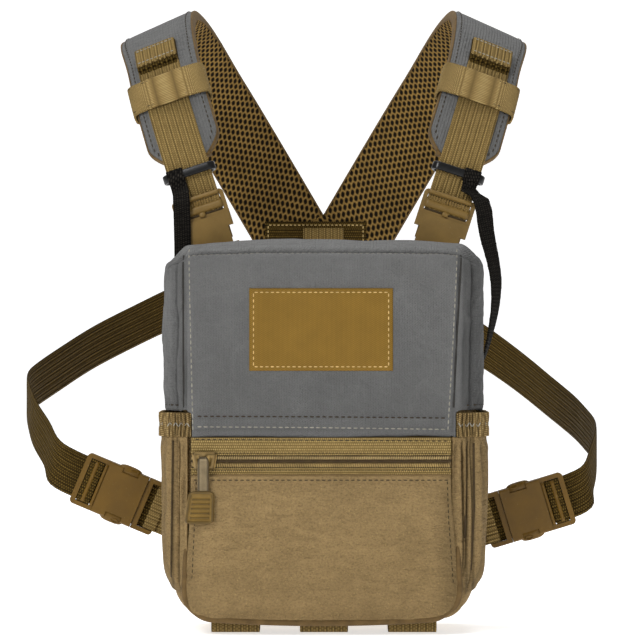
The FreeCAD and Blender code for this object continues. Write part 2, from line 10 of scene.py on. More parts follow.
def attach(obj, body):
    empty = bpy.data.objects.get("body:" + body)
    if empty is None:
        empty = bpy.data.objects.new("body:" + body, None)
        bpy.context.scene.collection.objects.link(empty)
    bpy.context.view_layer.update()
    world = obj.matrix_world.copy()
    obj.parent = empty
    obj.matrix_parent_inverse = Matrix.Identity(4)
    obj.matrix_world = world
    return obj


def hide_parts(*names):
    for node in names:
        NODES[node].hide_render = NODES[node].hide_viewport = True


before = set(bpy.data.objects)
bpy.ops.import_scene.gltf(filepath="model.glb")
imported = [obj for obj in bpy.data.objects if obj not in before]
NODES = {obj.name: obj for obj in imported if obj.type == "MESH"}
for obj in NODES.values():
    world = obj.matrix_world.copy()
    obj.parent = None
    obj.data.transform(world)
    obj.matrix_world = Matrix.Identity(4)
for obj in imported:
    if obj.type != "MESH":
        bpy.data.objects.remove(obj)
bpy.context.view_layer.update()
MM = 0.001
SIDES = (("left", -1), ("right", 1))
INWARD = (0, 1, 0)
TO_FRONT = (0, -1.0, 0)


# ---- main sizes and routes, in millimetres --------------------

LEAN = math.radians(24.2)
SKEW = math.tan(math.radians(6.2))
BEND, RISE = 116.7, 17.8
FOOT = np.array([65.4, 1.35, 107.0])
PAD_START, PAD_END, PAD_HALF, PAD_MIDDLE = 50.0, 412.0, 23.6, 4.6
PAD_TIP, TIP_LENGTH = 14.0, 14.0
TOP_RAISE = 3.4
WEB_HALF = 12.7
POCKET_LEFT, POCKET_RIGHT, POCKET_FOOT, POCKET_ROUND = -77, 71, -106, 25
BAND_SEAM = 2.4
ZIP_FACE, TOOTH_PITCH = -85.6, 1.25
LADDER_PLACE, LADDER_FACE, BUCKLE_LONG = 27.0, -6.0, 38.0
FOLDS = {-1: (87.0,), 1: (79.2, 83.4)}
POCKET_PLEATS = {
    "left": ([(-84.3, -95, -5.5), (-85.0, -95, -55), (-85.4, -95, -84)],),
    "right": ([(79.7, -95, -7), (79.4, -95, -34), (78.6, -95, -62)],
              [(83.6, -95, -7), (83.9, -95, -44), (82.0, -95, -80)]),
}
SIDE_MOUTH = {"left": (-141.5, -29.8, 22.8), "right": (141.7, -41.7, 16.9)}
SIDE_ROUTES = {
    "left": ((-153.5, 4.6, -23.5), (-161, 14.4, -13), (-168.5, 28, -2), (-174, 44, 8.5), (-176.5, 60, 15.5),
             (-175.4, 78, 19.5), (-170, 100, 24.5), (-160.2, 125, 32), (-142.4, 165, 44.5),
             (-119.8, 200, 57), (-99, 223, 67.5), (-70, 234.2, 80), (-52, 235.1, 87.5),
             (-44, 235.1, 91), (-32, 235.1, 95), (-20, 235.1, 99), (-8, 235.1, 103)),
    "right": ((151, 5.3, -37), (155.5, 13.3, -29), (159, 26, -20), (160.8, 42, -13.5), (160.5, 60, -9.5),
              (158.2, 80, -5.5), (154, 108, 0.5), (142, 150, 12), (124.4, 190, 27.5),
              (103, 219, 43.5), (74, 234.2, 62), (56, 235.1, 72.5), (46, 235.1, 78),
              (34, 235.1, 84), (22, 235.1, 89), (8, 235.1, 94.5)),
}
TETHER_ROUTES = {
    "left": ((-82.6, -7.6, 134), (-81.9, -9, 120), (-81.5, -9.1, 100), (-81.6, -7.4, 85)),
    "right": ((89.2, -6, 132), (93.5, -6.4, 116), (98.5, -5.6, 92), (99.6, -6, 74),
              (96, -6.4, 52), (91.2, -6.6, 36), (84.6, -6.6, 26)),
}


# ---- small vector and noise helpers --------------------

def grid_of(*parts):
    """Arrays and numbers laid side by side as points."""
    return np.stack(np.broadcast_arrays(*parts), -1)


def run_of(path):
    """Distance travelled at each point of a path."""
    return np.concatenate([[0], np.cumsum(np.linalg.norm(np.diff(path, axis=0), axis=1))])


def unit(v):
    return v / np.linalg.norm(v)


def unit_rows(v):
    return v / np.linalg.norm(v, axis=1)[:, None]


def line_between(a, b, count):
    t = np.linspace(0, 1, count)[:, None]
    return np.asarray(a, float) * (1 - t) + np.asarray(b, float) * t


def ridge(value, width):
    """1 where value is 0, falling away over the width."""
    return np.exp(-(value / width) ** 2)


def smooth(value, start, end):
    t = np.clip((value - start) / (end - start), 0.0, 1.0)
    return t * t * (3 - 2 * t)


def lattice(ix, iy, iz, seed):
    mask = 0xFFFFFFFF
    h = (ix * 374761393 + iy * 668265263 + iz * 1440662683 + seed * 1274126177) & mask
    h = ((h ^ (h >> 13)) * 1274126177) & mask
    return ((h ^ (h >> 16)) & 0xFFFF) / 32767.5 - 1.0


def value_noise(p, seed):
    base = np.floor(p).astype(np.int64)
    f = p - base
    f = f * f * (3 - 2 * f)
    total = np.zeros(len(p))
    for corner in range(8):
        step = [(corner >> k) & 1 for k in range(3)]
        weight = np.ones(len(p))
        for k in range(3):
            weight = weight * (f[:, k] if step[k] else 1 - f[:, k])
        total += weight * lattice(*(base[:, k] + step[k] for k in range(3)), seed)
    return total


def fbm(p, scale, seed, octaves=3):
    p = np.asarray(p, float) / scale
    return sum(0.5 ** k * value_noise(p * 2 ** k + 7.3 * k, seed + k) for k in range(octaves))


def creases(p, scale, seed):
    """Thin sharp folds: 1 on a fold line, falling to 0 between them."""
    first = 1 - np.abs(fbm(p, scale, seed, 2))
    second = 1 - np.abs(fbm(p, scale * 0.55, seed + 9, 2))
    return np.clip(first, 0, 1) ** 5 * 0.65 + np.clip(second, 0, 1) ** 5 * 0.35


def groove(a, b, start, end, width):
    """A dent of depth 1 along a straight line in the plane (a, b)."""
    p = np.stack([a, b], -1)
    start, end = np.array(start, float), np.array(end, float)
    d = end - start
    t = np.clip(((p - start) @ d) / (d @ d), 0, 1)
    return ridge(np.linalg.norm(p - (start + t[..., None] * d), axis=-1), width)


def round_off(p, axes, signs, start, reach, power=2.4):
    """Rounds one edge of the whole body: past start on both axes, square shells become curved ones."""
    q = p.copy()
    a = np.maximum(signs[0] * p[:, axes[0]] - start[0], 0) / reach[0]
    b = np.maximum(signs[1] * p[:, axes[1]] - start[1], 0) / reach[1]
    norm = (a ** power + b ** power) ** (1 / power)
    scale = np.where(norm > 1e-9, np.maximum(a, b) / np.maximum(norm, 1e-9), 1.0)
    for axis, sign, first, far, share in zip(axes, signs, start, reach, (a, b)):
        q[:, axis] = np.where(share > 0, sign * (first + far * share * scale), q[:, axis])
    return q


def soften(p, top=False, low=True):
    """The body's soft corners: both front uprights, the lower front edge and, for the lid, the top edge."""
    for sign in (-1, 1):
        p = round_off(p, (0, 1), (sign, -1), (62, 58), (27, 26), 2.5)
    if low:
        p = round_off(p, (2, 1), (-1, -1), (86, 66), (20, 22), 5.0)
    if top:
        p = round_off(p, (2, 1), (1, -1), (82, 60), (23, 24), 2.4)
        p = round_off(p, (2, 1), (1, 1), (90, -30), (15, 18), 2.4)
    return p


def fill_corners(q, amount):
    """Stuffed lower corners: pushes them out along their diagonals."""
    right, down = np.abs(q[:, 0]) - 54, -q[:, 2] - 82
    reach = np.hypot(right, down)
    share = np.where((right > 0) & (down > 0), 2 * right * down / np.maximum(reach, 1e-6) ** 2, 0)
    push = amount * share * smooth(reach, 12, 25) / np.maximum(reach, 1e-6)
    q[:, 0] += np.sign(q[:, 0]) * right * push
    q[:, 2] -= down * push
    return q


# ---- building meshes --------------------

def linked(name, data):
    """A new object in the scene."""
    obj = bpy.data.objects.new(name, data)
    bpy.context.scene.collection.objects.link(obj)
    return obj


def smooth_faces(mesh, smooth_shading=True):
    mesh.polygons.foreach_set("use_smooth", np.full(len(mesh.polygons), smooth_shading))


def put(name, points, faces, coords=None):
    """A new smooth mesh object from points in millimetres; coords is the weave's own space."""
    mesh = bpy.data.meshes.new(name)
    mesh.from_pydata((np.asarray(points) * MM).tolist(), [], faces)
    smooth_faces(mesh)
    write_coords(mesh, points if coords is None else coords)
    mesh.update()
    return linked(name, mesh)


def write_coords(mesh, coords):
    attribute = mesh.attributes.get("weave") or mesh.attributes.new("weave", "FLOAT_VECTOR", "POINT")
    attribute.data.foreach_set("vector", np.asarray(coords, np.float32).ravel())
    write_shade(mesh, np.ones(len(mesh.vertices)))


def write_shade(mesh, values):
    """Painted shade and light at each point, multiplied into the colour; 1 leaves the colour as it is."""
    attribute = mesh.attributes.get("shade") or mesh.attributes.new("shade", "FLOAT", "POINT")
    attribute.data.foreach_set("value", np.asarray(values, np.float32))


def paint_shading(obj, depth, tint=None, rounds=9):
    """Painted shade in seams and folds, painted highlight on ridges, and broad painted light and shade,
    tint(points), over them.
    """
    mesh = obj.data
    points = points_of(mesh)
    normals = np.zeros(len(points) * 3)
    mesh.vertices.foreach_get("normal", normals)
    calm = relax(mesh, points, rounds, 0.0)
    height = np.sum((points - calm) * normals.reshape(-1, 3), 1)
    values = np.clip(1 + height / depth, 0.5, 1.12)
    if tint is not None:
        values = values * tint(points)
    write_shade(mesh, values)


def ring_faces(gaps, sides, rings, base=0):
    """Faces between neighbouring rings of points."""
    faces = []
    for r in range(gaps):
        near, far = base + r * sides, base + (r + 1) % rings * sides
        for c in range(sides):
            d = (c + 1) % sides
            faces.append((near + c, near + d, far + d, far + c))
    return faces


def end_faces(sides, rings, base=0):
    """The two flat ends of a stack of rings."""
    first = tuple(base + c for c in range(sides))
    return [first[::-1], tuple(c + (rings - 1) * sides for c in first)]


def both_walls(face, count):
    """A face and its twin on the far wall, count points further on."""
    return [face, tuple(k + count for k in face[::-1])]


def walled(name, near, far, faces, coords):
    """A mesh from two grids of points, one on each side of a thin wall."""
    points = np.concatenate([near.reshape(-1, 3), far.reshape(-1, 3)])
    return put(name, points, faces, np.concatenate([coords.reshape(-1, 3)] * 2))


def plate(name, front, back, coords):
    """A closed sheet between two grids of points, each (rows, columns, 3)."""
    rows, cols = front.shape[:2]
    count = rows * cols
    index = np.arange(count).reshape(rows, cols)
    faces = []
    for r in range(rows - 1):
        for c in range(cols - 1):
            faces += both_walls((index[r, c], index[r, c + 1], index[r + 1, c + 1], index[r + 1, c]), count)
    rim = list(index[0, :]) + list(index[1:, -1]) + list(index[-1, -2::-1]) + list(index[-2:0:-1, 0])
    for a, b in zip(rim, rim[1:] + rim[:1]):
        faces.append((b, a, a + count, b + count))
    return walled(name, front, back, [tuple(int(i) for i in f) for f in faces], coords)


def closed_band(name, outer, inner, coords):
    """A hoop of cloth: rows run along, columns go round and close."""
    rows, cols = outer.shape[:2]
    count = rows * cols
    faces = []
    for face in ring_faces(rows - 1, cols, rows):
        faces += both_walls(face, count)
    for r in (0, rows - 1):
        for c in range(cols):
            a, b = r * cols + c, r * cols + (c + 1) % cols
            quad = (b, a, a + count, b + count)
            faces.append(quad if r == 0 else quad[::-1])
    return walled(name, outer, inner, faces, coords)


def tube(name, path, across, up, sides=10, closed=False, normal=TO_FRONT):
    """A rounded bead swept along a path; across and up are its half sizes."""
    path = np.asarray(path, float)
    tangent = np.roll(path, -1, 0) - np.roll(path, 1, 0) if closed else np.gradient(path, axis=0)
    tangent = unit_rows(tangent)
    normal = np.broadcast_to(np.asarray(normal, float), path.shape)
    normal = unit_rows(normal - tangent * np.sum(normal * tangent, 1)[:, None])
    wide = np.cross(tangent, normal)
    turn = np.linspace(0, 2 * math.pi, sides, endpoint=False)
    c, s = across * np.cos(turn), up * np.sin(turn)
    ring = path[:, None] + wide[:, None] * c[None, :, None] + normal[:, None] * s[None, :, None]
    coords = grid_of(c[None], run_of(path)[:, None], s[None])
    rings = len(path)
    faces = ring_faces(rings if closed else rings - 1, sides, rings)
    if not closed:
        faces += end_faces(sides, rings)
    return put(name, ring.reshape(-1, 3), faces, coords.reshape(-1, 3))


def beads(name, middles, alongs, outs, long, radius, flat=0.8, sides=6):
    """Many small rounded bars in one mesh: stitches, zipper teeth or ribs."""
    rings = np.array([-1, -0.8, -0.35, 0.35, 0.8, 1])
    swell = np.sqrt(np.clip(1 - np.abs(rings) ** 3, 0.05, 1))
    turn = np.linspace(0, 2 * math.pi, sides, endpoint=False)
    points, faces = [], []
    for middle, along, out in zip(middles, alongs, outs):
        along, out = unit(np.asarray(along, float)), np.asarray(out, float)
        out = unit(out - along * (out @ along))
        wide = np.cross(along, out)
        base = len(points)
        for t, s in zip(rings, swell):
            for q in turn:
                points.append(np.asarray(middle) + along * (t * long / 2)
                              + wide * (radius * s * math.cos(q)) + out * (radius * flat * s * math.sin(q)))
        faces += ring_faces(len(rings) - 1, sides, len(rings), base) + end_faces(sides, len(rings), base)
    return put(name, np.array(points), faces)


def bead_row(name, places, long, radius, look, body):
    """Beads from (middle, along, out) triples."""
    middles, alongs, outs = zip(*places)
    return finish(beads(name, middles, alongs, outs, long, radius), look, body)


def joined_nodes(names):
    """The CAD meshes of some nodes as one welded mesh."""
    work = bmesh.new()
    for name in names:
        work.from_mesh(NODES[name].data)
    bmesh.ops.remove_doubles(work, verts=work.verts, dist=1e-6)
    mesh = bpy.data.meshes.new("joined")
    work.to_mesh(mesh)
    work.free()
    return mesh


def applied(obj):
    """The object's mesh with its modifiers worked in."""
    graph = bpy.context.evaluated_depsgraph_get()
    mesh = bpy.data.meshes.new_from_object(obj.evaluated_get(graph))
    obj.modifiers.clear()
    obj.data = mesh
    return mesh


def points_of(mesh):
    co = np.zeros(len(mesh.vertices) * 3)
    mesh.vertices.foreach_get("co", co)
    return co.reshape(-1, 3) / MM


def relax(mesh, points, rounds, back=-0.52):
    """Laplacian smoothing; the step back keeps the volume."""
    edges = np.zeros(len(mesh.edges) * 2, np.int64)
    mesh.edges.foreach_get("vertices", edges)
    a, b = edges[::2], edges[1::2]
    count = np.bincount(np.concatenate([a, b]), minlength=len(points))[:, None]
    for k in range(rounds * 2):
        step = 0.5 if k % 2 == 0 else back
        mean = np.stack([np.bincount(a, points[b, i], len(points))
                         + np.bincount(b, points[a, i], len(points)) for i in range(3)], -1)
        points = points + step * (mean / np.maximum(count, 1) - points)
    return points


def soft_copy(name, nodes, voxel, rounds, shaper=None, coords=None):
    """A fine rounded cloth body over the given CAD nodes, bent by shaper(points)."""
    obj = linked(name, joined_nodes(nodes))
    modifier = obj.modifiers.new("fine", "REMESH")
    modifier.mode = "VOXEL"
    modifier.voxel_size = voxel * MM
    mesh = applied(obj)
    rest = relax(mesh, points_of(mesh), rounds)
    points = rest if shaper is None else shaper(rest)
    mesh.vertices.foreach_set("co", (points * MM).ravel())
    smooth_faces(mesh)
    write_coords(mesh, rest if coords is None else coords(rest))
    mesh.update()
    return obj


def moulded_copy(name, node, bevel, segments=2):
    """A hard CAD part with its edges rounded."""
    mesh = joined_nodes([node])
    work = bmesh.new()
    work.from_mesh(mesh)
    bmesh.ops.dissolve_limit(work, angle_limit=math.radians(2), verts=work.verts, edges=work.edges)
    bmesh.ops.triangulate(work, faces=[f for f in work.faces if len(f.verts) > 4])
    work.to_mesh(mesh)
    work.free()
    obj = linked(name, mesh)
    modifier = obj.modifiers.new("edge", "BEVEL")
    modifier.width = bevel * MM
    modifier.segments = segments
    modifier.limit_method = "ANGLE"
    modifier.angle_limit = math.radians(35)
    mesh = applied(obj)
    smooth_faces(mesh, False)
    write_coords(mesh, points_of(mesh))
    return obj


def surface_of(obj):
    mesh = obj.data
    return BVHTree.FromPolygons([v.co for v in mesh.vertices], [p.vertices for p in mesh.polygons])


def dropped(tree, points, direction, lift=0.0):
    """Points carried along a direction onto a surface, with the surface's normals."""
    direction = Vector(direction)
    spots, outs = [], []
    for p in np.asarray(points, float):
        start = Vector(p * MM) - direction * 0.05
        hit, normal, _, _ = tree.ray_cast(start, direction)
        if hit is None:
            hit, normal, _, _ = tree.find_nearest(Vector(p * MM))
        if normal.dot(direction) > 0:
            normal = -normal
        spots.append(np.array(hit) / MM + np.array(normal) * lift)
        outs.append(np.array(normal))
    return np.array(spots), np.array(outs)


def spaced(path, pitch):
    """Evenly spaced points along a polyline, with directions."""
    path = np.asarray(path, float)
    run = run_of(path)
    count = max(2, int(run[-1] / pitch))
    places = (np.arange(count) + 0.5) * run[-1] / count
    spots, ahead, behind = (grid_of(*(np.interp(places + step, run, path[:, k]) for k in range(3)))
                            for step in (0, 0.5, -0.5))
    return spots, ahead - behind


def stitch_line(name, tree, path, direction, look, body, pitch=3.2, long=2.2, radius=0.3):
    """A row of stitches laid on a surface along a path."""
    spots, alongs = spaced(path, pitch)
    spots, outs = dropped(tree, spots, direction, 0.02)
    return finish(beads(name, spots, alongs, outs, long, radius), look, body)


def stitched_outline(name, tree, corners, count, direction, body, pitch, long, radius):
    """Pale stitches along each straight side between corners."""
    for k, (a, b) in enumerate(zip(corners, corners[1:])):
        stitch_line("%s_%d" % (name, k), tree, line_between(a, b, count), direction, "thread_gold", body,
                    pitch, long, radius)


def seam_line(name, tree, path, look, body, radius):
    """A narrow dark line of painted shadow where two panels meet, laid in their groove."""
    spots, _ = spaced(path, 2.0)
    spots, outs = dropped(tree, spots, INWARD)
    return finish(tube(name, spots, radius, radius * 0.6, 8, normal=outs), look, body)


def finish(obj, look, body, stands_for=()):
    """The piece's material, the body it rides on and the CAD nodes it stands for."""
    obj.data.materials.clear()
    obj.data.materials.append(LOOKS[look])
    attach(obj, body)
    if stands_for:
        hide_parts(*stands_for)
    return obj


# ---- materials --------------------

class Look:
    """A procedural material built on the weave coordinates in millimetres."""

    def __init__(self, name, rough=0.9, metal=0.0, sheen=0.0, specular=0.12):
        self.material = bpy.data.materials.new(name)
        self.material.use_nodes = True
        self.tree = self.material.node_tree
        self.shader = self.tree.nodes["Principled BSDF"]
        self.shader.inputs["Roughness"].default_value = rough
        self.shader.inputs["Metallic"].default_value = metal
        self.shader.inputs["Sheen Weight"].default_value = sheen
        self.shader.inputs["Specular IOR Level"].default_value = specular
        self.place = self.attribute("weave").outputs["Vector"]
        split = self.tree.nodes.new("ShaderNodeSeparateXYZ")
        self.tree.links.new(self.place, split.inputs[0])
        self.x, self.y, self.z = split.outputs

    def attribute(self, name):
        item = self.tree.nodes.new("ShaderNodeAttribute")
        item.attribute_name = name
        return item

    def feed(self, socket, value):
        if isinstance(value, bpy.types.NodeSocket):
            self.tree.links.new(value, socket)
        else:
            socket.default_value = value

    def math(self, operation, a, b=0.0):
        item = self.tree.nodes.new("ShaderNodeMath")
        item.operation = operation
        self.feed(item.inputs[0], a)
        self.feed(item.inputs[1], b)
        return item.outputs[0]

    def times(self, a, b):
        return self.math("MULTIPLY", a, b)

    def plus(self, a, b):
        return self.math("ADD", a, b)

    def noise(self, scale, detail=3.0, stretch=(1, 1, 1), rough=0.55):
        turn = self.tree.nodes.new("ShaderNodeVectorMath")
        turn.operation = "MULTIPLY"
        self.feed(turn.inputs[0], self.place)
        turn.inputs[1].default_value = stretch
        item = self.tree.nodes.new("ShaderNodeTexNoise")
        self.feed(item.inputs["Vector"], turn.outputs[0])
        item.inputs["Scale"].default_value = scale
        item.inputs["Detail"].default_value = detail
        item.inputs["Roughness"].default_value = rough
        return item.outputs[0]

    def cells(self, a, b, wide, tall, shift):
        """Raised cells in slanted rows, 0 at their edges and 1 in the middle."""
        column = self.math("DIVIDE", a, wide)
        row = self.plus(self.math("DIVIDE", b, tall), self.times(self.math("FLOOR", column), shift))
        bumps = []
        for value in (column, row):
            f = self.math("FRACT", value)
            bumps.append(self.times(self.times(f, self.math("SUBTRACT", 1.0, f)), 4.0))
        return self.times(*bumps)

    def ramp(self, value, stops):
        item = self.tree.nodes.new("ShaderNodeValToRGB")
        self.feed(item.inputs[0], value)
        elements = item.color_ramp.elements
        elements[0].position, elements[0].color = stops[0][0], (*stops[0][1], 1)
        elements[1].position, elements[1].color = stops[-1][0], (*stops[-1][1], 1)
        for place, colour in stops[1:-1]:
            elements.new(place).color = (*colour, 1)
        return item.outputs[0]

    def mix(self, share, a, b, mode="MIX"):
        item = self.tree.nodes.new("ShaderNodeMix")
        item.data_type = "RGBA"
        item.blend_type = mode
        self.feed(item.inputs[0], share)
        self.feed(item.inputs[6], a)
        self.feed(item.inputs[7], b)
        return item.outputs[2]

    def shaded(self, colour, share, value, *levels):
        """The colour darkened by grey levels along a value."""
        return self.mix(share, colour, self.ramp(value, shades((1, 1, 1), *levels)), "MULTIPLY")

    def worn(self, colour, scale, low):
        """The colour with broad darker patches."""
        return self.shaded(colour, 1.0, self.noise(scale, 4), (0.3, low), (0.7, 1.0))

    def done(self, colour, height, strength, distance):
        # The painted shade and light of each point multiplies the colour.
        colour = self.mix(1.0, colour, self.attribute("shade").outputs["Color"], "MULTIPLY")
        self.feed(self.shader.inputs["Base Color"], colour)
        bump = self.tree.nodes.new("ShaderNodeBump")
        bump.inputs["Strength"].default_value = strength
        bump.inputs["Distance"].default_value = distance * MM
        self.feed(bump.inputs["Height"], height)
        self.feed(self.shader.inputs["Normal"], bump.outputs[0])
        return self.material


def tone(r, g, b):
    """A colour given as it is seen, 0 to 255, as linear light."""
    return tuple(((c / 255 + 0.055) / 1.055) ** 2.4 if c > 10 else c / 255 / 12.92 for c in (r, g, b))


def shades(colour, *levels):
    return [(place, tuple(min(1.0, c * level) for c in colour)) for place, level in levels]


def softshell():
    look = Look("softshell_grey", 0.95, sheen=0.08, specular=0.06)
    mottle = look.ramp(look.noise(0.05, 3), shades(tone(112, 112, 111), (0.3, 0.93), (0.7, 1.05)))
    knit = look.cells(look.x, look.z, 0.9, 0.9, 0.5)
    colour = look.shaded(mottle, 0.6, look.noise(2.2, 2), (0.35, 0.66), (0.62, 1.06))
    height = look.plus(look.times(knit, 0.3), look.times(look.noise(0.25, 4), 2.0))
    return look.done(colour, height, 0.9, 1.6)


def crinkled_nylon():
    look = Look("crinkled_nylon", 0.75, specular=0.1)
    broad = look.ramp(look.noise(0.05, 4), shades(tone(156, 131, 90), (0.3, 0.88), (0.5, 1.0), (0.72, 1.08)))
    fine = look.noise(0.85, 5, (0.9, 1, 1.15), 0.7)
    colour = look.shaded(broad, 0.8, fine, (0.34, 0.6), (0.5, 0.92), (0.62, 1.06))
    # Pale specks: painted glints on the crinkles.
    glint_speck = look.ramp(look.noise(1.1, 3), [(0.0, (0, 0, 0)), (0.6, (0, 0, 0)), (0.72, (1, 1, 1))])
    colour = look.mix(look.times(glint_speck, 0.4), colour, (*tone(205, 175, 115), 1))
    soft = look.noise(0.22, 4, (0.6, 1, 1.2), 0.6)
    return look.done(colour, look.plus(look.times(soft, 1.6), look.times(fine, 0.5)), 1.0, 3.0)


def webbing(name, base, bright, wide=1.5, tall=1.2, shift=0.5, ribs=0.0, crosswise=False):
    """Woven webbing; ribs is the pitch of its ribs, which run lengthwise unless crosswise."""
    look = Look(name, 0.8, specular=0.06)
    cell = look.cells(look.x, look.y, wide, tall, shift)
    fleck = look.times(cell, look.plus(look.noise(0.6, 2), 0.35))
    colour = look.ramp(fleck, [(0.0, tuple(c * 0.55 for c in base)), (0.35, base), (0.95, bright)])
    colour = look.worn(colour, 0.06, 0.86)
    height = cell
    if ribs:
        rib = look.math("SINE", look.times(look.y if crosswise else look.x, 2 * math.pi / ribs))
        height = look.plus(cell, look.times(rib, 1.2))
        # Rib grooves darkened: painted shade between the ribs.
        colour = look.shaded(colour, 0.6, look.plus(look.times(rib, 0.5), 0.5), (0.0, 0.45), (0.6, 1.0))
    return look.done(colour, height, 0.8, 0.4)


def spacer_mesh():
    look = Look("spacer_mesh", 0.85, specular=0.1)
    hole = look.cells(look.plus(look.x, look.times(look.y, 0.35)), look.y, 3.1, 4.3, 0.5)
    # Near-black hole centres: painted shade inside the holes.
    colour = look.ramp(hole, [(0.0, tone(160, 128, 72)), (0.42, tone(122, 96, 48)),
                              (0.6, tone(36, 27, 12)), (1.0, tone(14, 10, 6))])
    height = look.times(look.math("SMOOTH_MIN", hole, 0.7), -1.0)
    return look.done(look.worn(colour, 0.05, 0.75), height, 1.0, 1.2)


def plain_cloth(name, base, rough=0.85, scale=1.0, metal=0.0, specular=0.3, bump=0.4):
    look = Look(name, rough, metal=metal, specular=specular)
    broad = look.ramp(look.noise(0.12 * scale, 4), shades(base, (0.3, 0.75), (0.7, 1.25)))
    grain = look.noise(2.0 * scale, 3)
    colour = look.shaded(broad, 0.5, grain, (0.3, 0.7), (0.7, 1.0))
    return look.done(colour, look.plus(grain, look.noise(0.4 * scale, 2)), bump, 0.25)


def moulded_plastic(name, base):
    look = Look(name, 0.42, specular=0.3)
    broad = look.ramp(look.noise(0.08, 4), shades(base, (0.3, 0.85), (0.7, 1.15)))
    scuff = look.math("GREATER_THAN", look.noise(0.9, 5, (1, 0.2, 1)), 0.68)
    colour = look.mix(look.times(scuff, 0.25), broad, (*tone(160, 140, 95), 1))
    rough = look.plus(look.times(look.noise(0.5, 3), 0.3), 0.3)
    look.feed(look.shader.inputs["Roughness"], rough)
    return look.done(colour, look.noise(3.0, 2), 0.15, 0.15)


def label_cloth():
    look = Look("label_satin", 0.6, specular=0.15)
    cell = look.cells(look.x, look.z, 0.7, 1.1, 0.33)
    colour = look.ramp(cell, shades(tone(132, 101, 38), (0.0, 0.6), (0.5, 1.0), (1.0, 1.3)))
    return look.done(look.worn(colour, 0.08, 0.85), cell, 0.5, 0.25)


LOOKS = {
    "grey": softshell(),
    "brown": crinkled_nylon(),
    "tan": webbing("tan_webbing", tone(146, 121, 74), tone(184, 160, 106)),
    "tan_ribbed": webbing("tan_webbing_ribbed", tone(142, 117, 70), tone(182, 156, 98), ribs=2.3),
    "dark": webbing("dark_webbing", tone(66, 51, 20), tone(124, 100, 48), 1.6, 1.3, ribs=2.6),
    "elastic": webbing("gathered_elastic", tone(122, 100, 64), tone(176, 152, 104), 1.5, 1.1),
    "black": webbing("black_webbing", tone(22, 20, 18), tone(58, 54, 48), 1.4, ribs=2.2, crosswise=True),
    "tape": webbing("zipper_tape", tone(134, 112, 68), tone(192, 166, 108), 1.5, 1.1, 0.33),
    "mesh": spacer_mesh(),
    "binding": plain_cloth("binding_tape", tone(104, 82, 48), scale=1.6, bump=0.6),
    "thread_pale": plain_cloth("thread_pale", tone(154, 150, 138), scale=2.0),
    "thread_dark": plain_cloth("thread_dark", tone(58, 48, 34), scale=2.0),
    "thread_gold": plain_cloth("thread_gold", tone(214, 184, 122), scale=2.0),
    "coil": plain_cloth("coil_teeth", tone(174, 148, 94), rough=0.5, specular=0.2),
    # A paler copy of the coil colour for the upper coil row: painted light.
    "coil_painted_light": plain_cloth("coil_teeth_painted_light", tone(176, 152, 104), rough=0.5, specular=0.2),
    "metal": plain_cloth("slider_paint", tone(142, 116, 66), rough=0.35, metal=0.6, specular=0.6, bump=0.15),
    "link": plain_cloth("link_metal", tone(128, 113, 86), rough=0.32, metal=0.75, specular=0.6, bump=0.15),
    "rubber": plain_cloth("pull_rubber", tone(124, 98, 44), rough=0.5, bump=0.2),
    "buckle": moulded_plastic("moulded_plastic", tone(101, 73, 10)),
    # A paler copy of the same buckle plastic for the shoulder buckles: painted light.
    "buckle_painted_light": moulded_plastic("moulded_plastic_painted_light", tone(124, 98, 48)),
    "ring": plain_cloth("ring_black", tone(30, 30, 30), rough=0.28, metal=0.5, specular=0.6, bump=0.1),
    "label": label_cloth(),
    # Dark lines and sheets that stand for the shadow in seams, pleats, slots and recesses: painted shadow.
    "seam": plain_cloth("seam_shadow", tone(52, 50, 47), scale=2.0),
    "painted_shadow_brown": plain_cloth("seam_shadow_brown", tone(66, 52, 30), scale=2.0),
}


# ---- straps --------------------

def shoulder_frame(side, s):
    """Centre, direction, inward width and outward normal of a shoulder strap at length s."""
    up = np.array([math.sin(LEAN), 0, math.cos(LEAN)])
    inward = np.array([-math.cos(LEAN), 0, math.sin(LEAN)])
    back = np.array([0, 1.0, 0])
    arc = math.pi * BEND
    if s < RISE:
        height, depth, turn = s, 0.0, 0.0
    elif s < RISE + arc:
        turn = (s - RISE) / BEND
        height, depth = RISE + BEND * math.sin(turn), BEND * (1 - math.cos(turn))
    else:
        height, depth, turn = 2 * RISE + arc - s, 2 * BEND, math.pi
    centre = FOOT + up * height + back * depth + inward * (SKEW * s)
    along = unit(up * math.cos(turn) + back * math.sin(turn) + inward * SKEW)
    wide = unit(inward - along * (inward @ along))
    face = up * math.sin(turn) - back * math.cos(turn)
    face = unit(face - along * (face @ along) - wide * (face @ wide))
    centre = centre + np.array([0, 0, TOP_RAISE * smooth(centre[2], 205, 240)])
    flip = np.array([side, 1, 1])
    return centre * flip, along * flip, wide * flip, face * flip


def shoulder_frames(side, places):
    return [shoulder_frame(side, s) for s in places]


def route_frames(curve, tangent, widths):
    """Frames along a curve, as wide as the given directions allow."""
    frames = []
    for c, t, w in zip(curve, tangent, widths):
        w = unit(w - t * (w @ t))
        frames.append((c, t, w, np.cross(t, w)))
    return frames


def stacked(frames):
    """Frames as four arrays: centre, along, wide, face."""
    return (np.array([f[k] for f in frames]) for k in range(4))


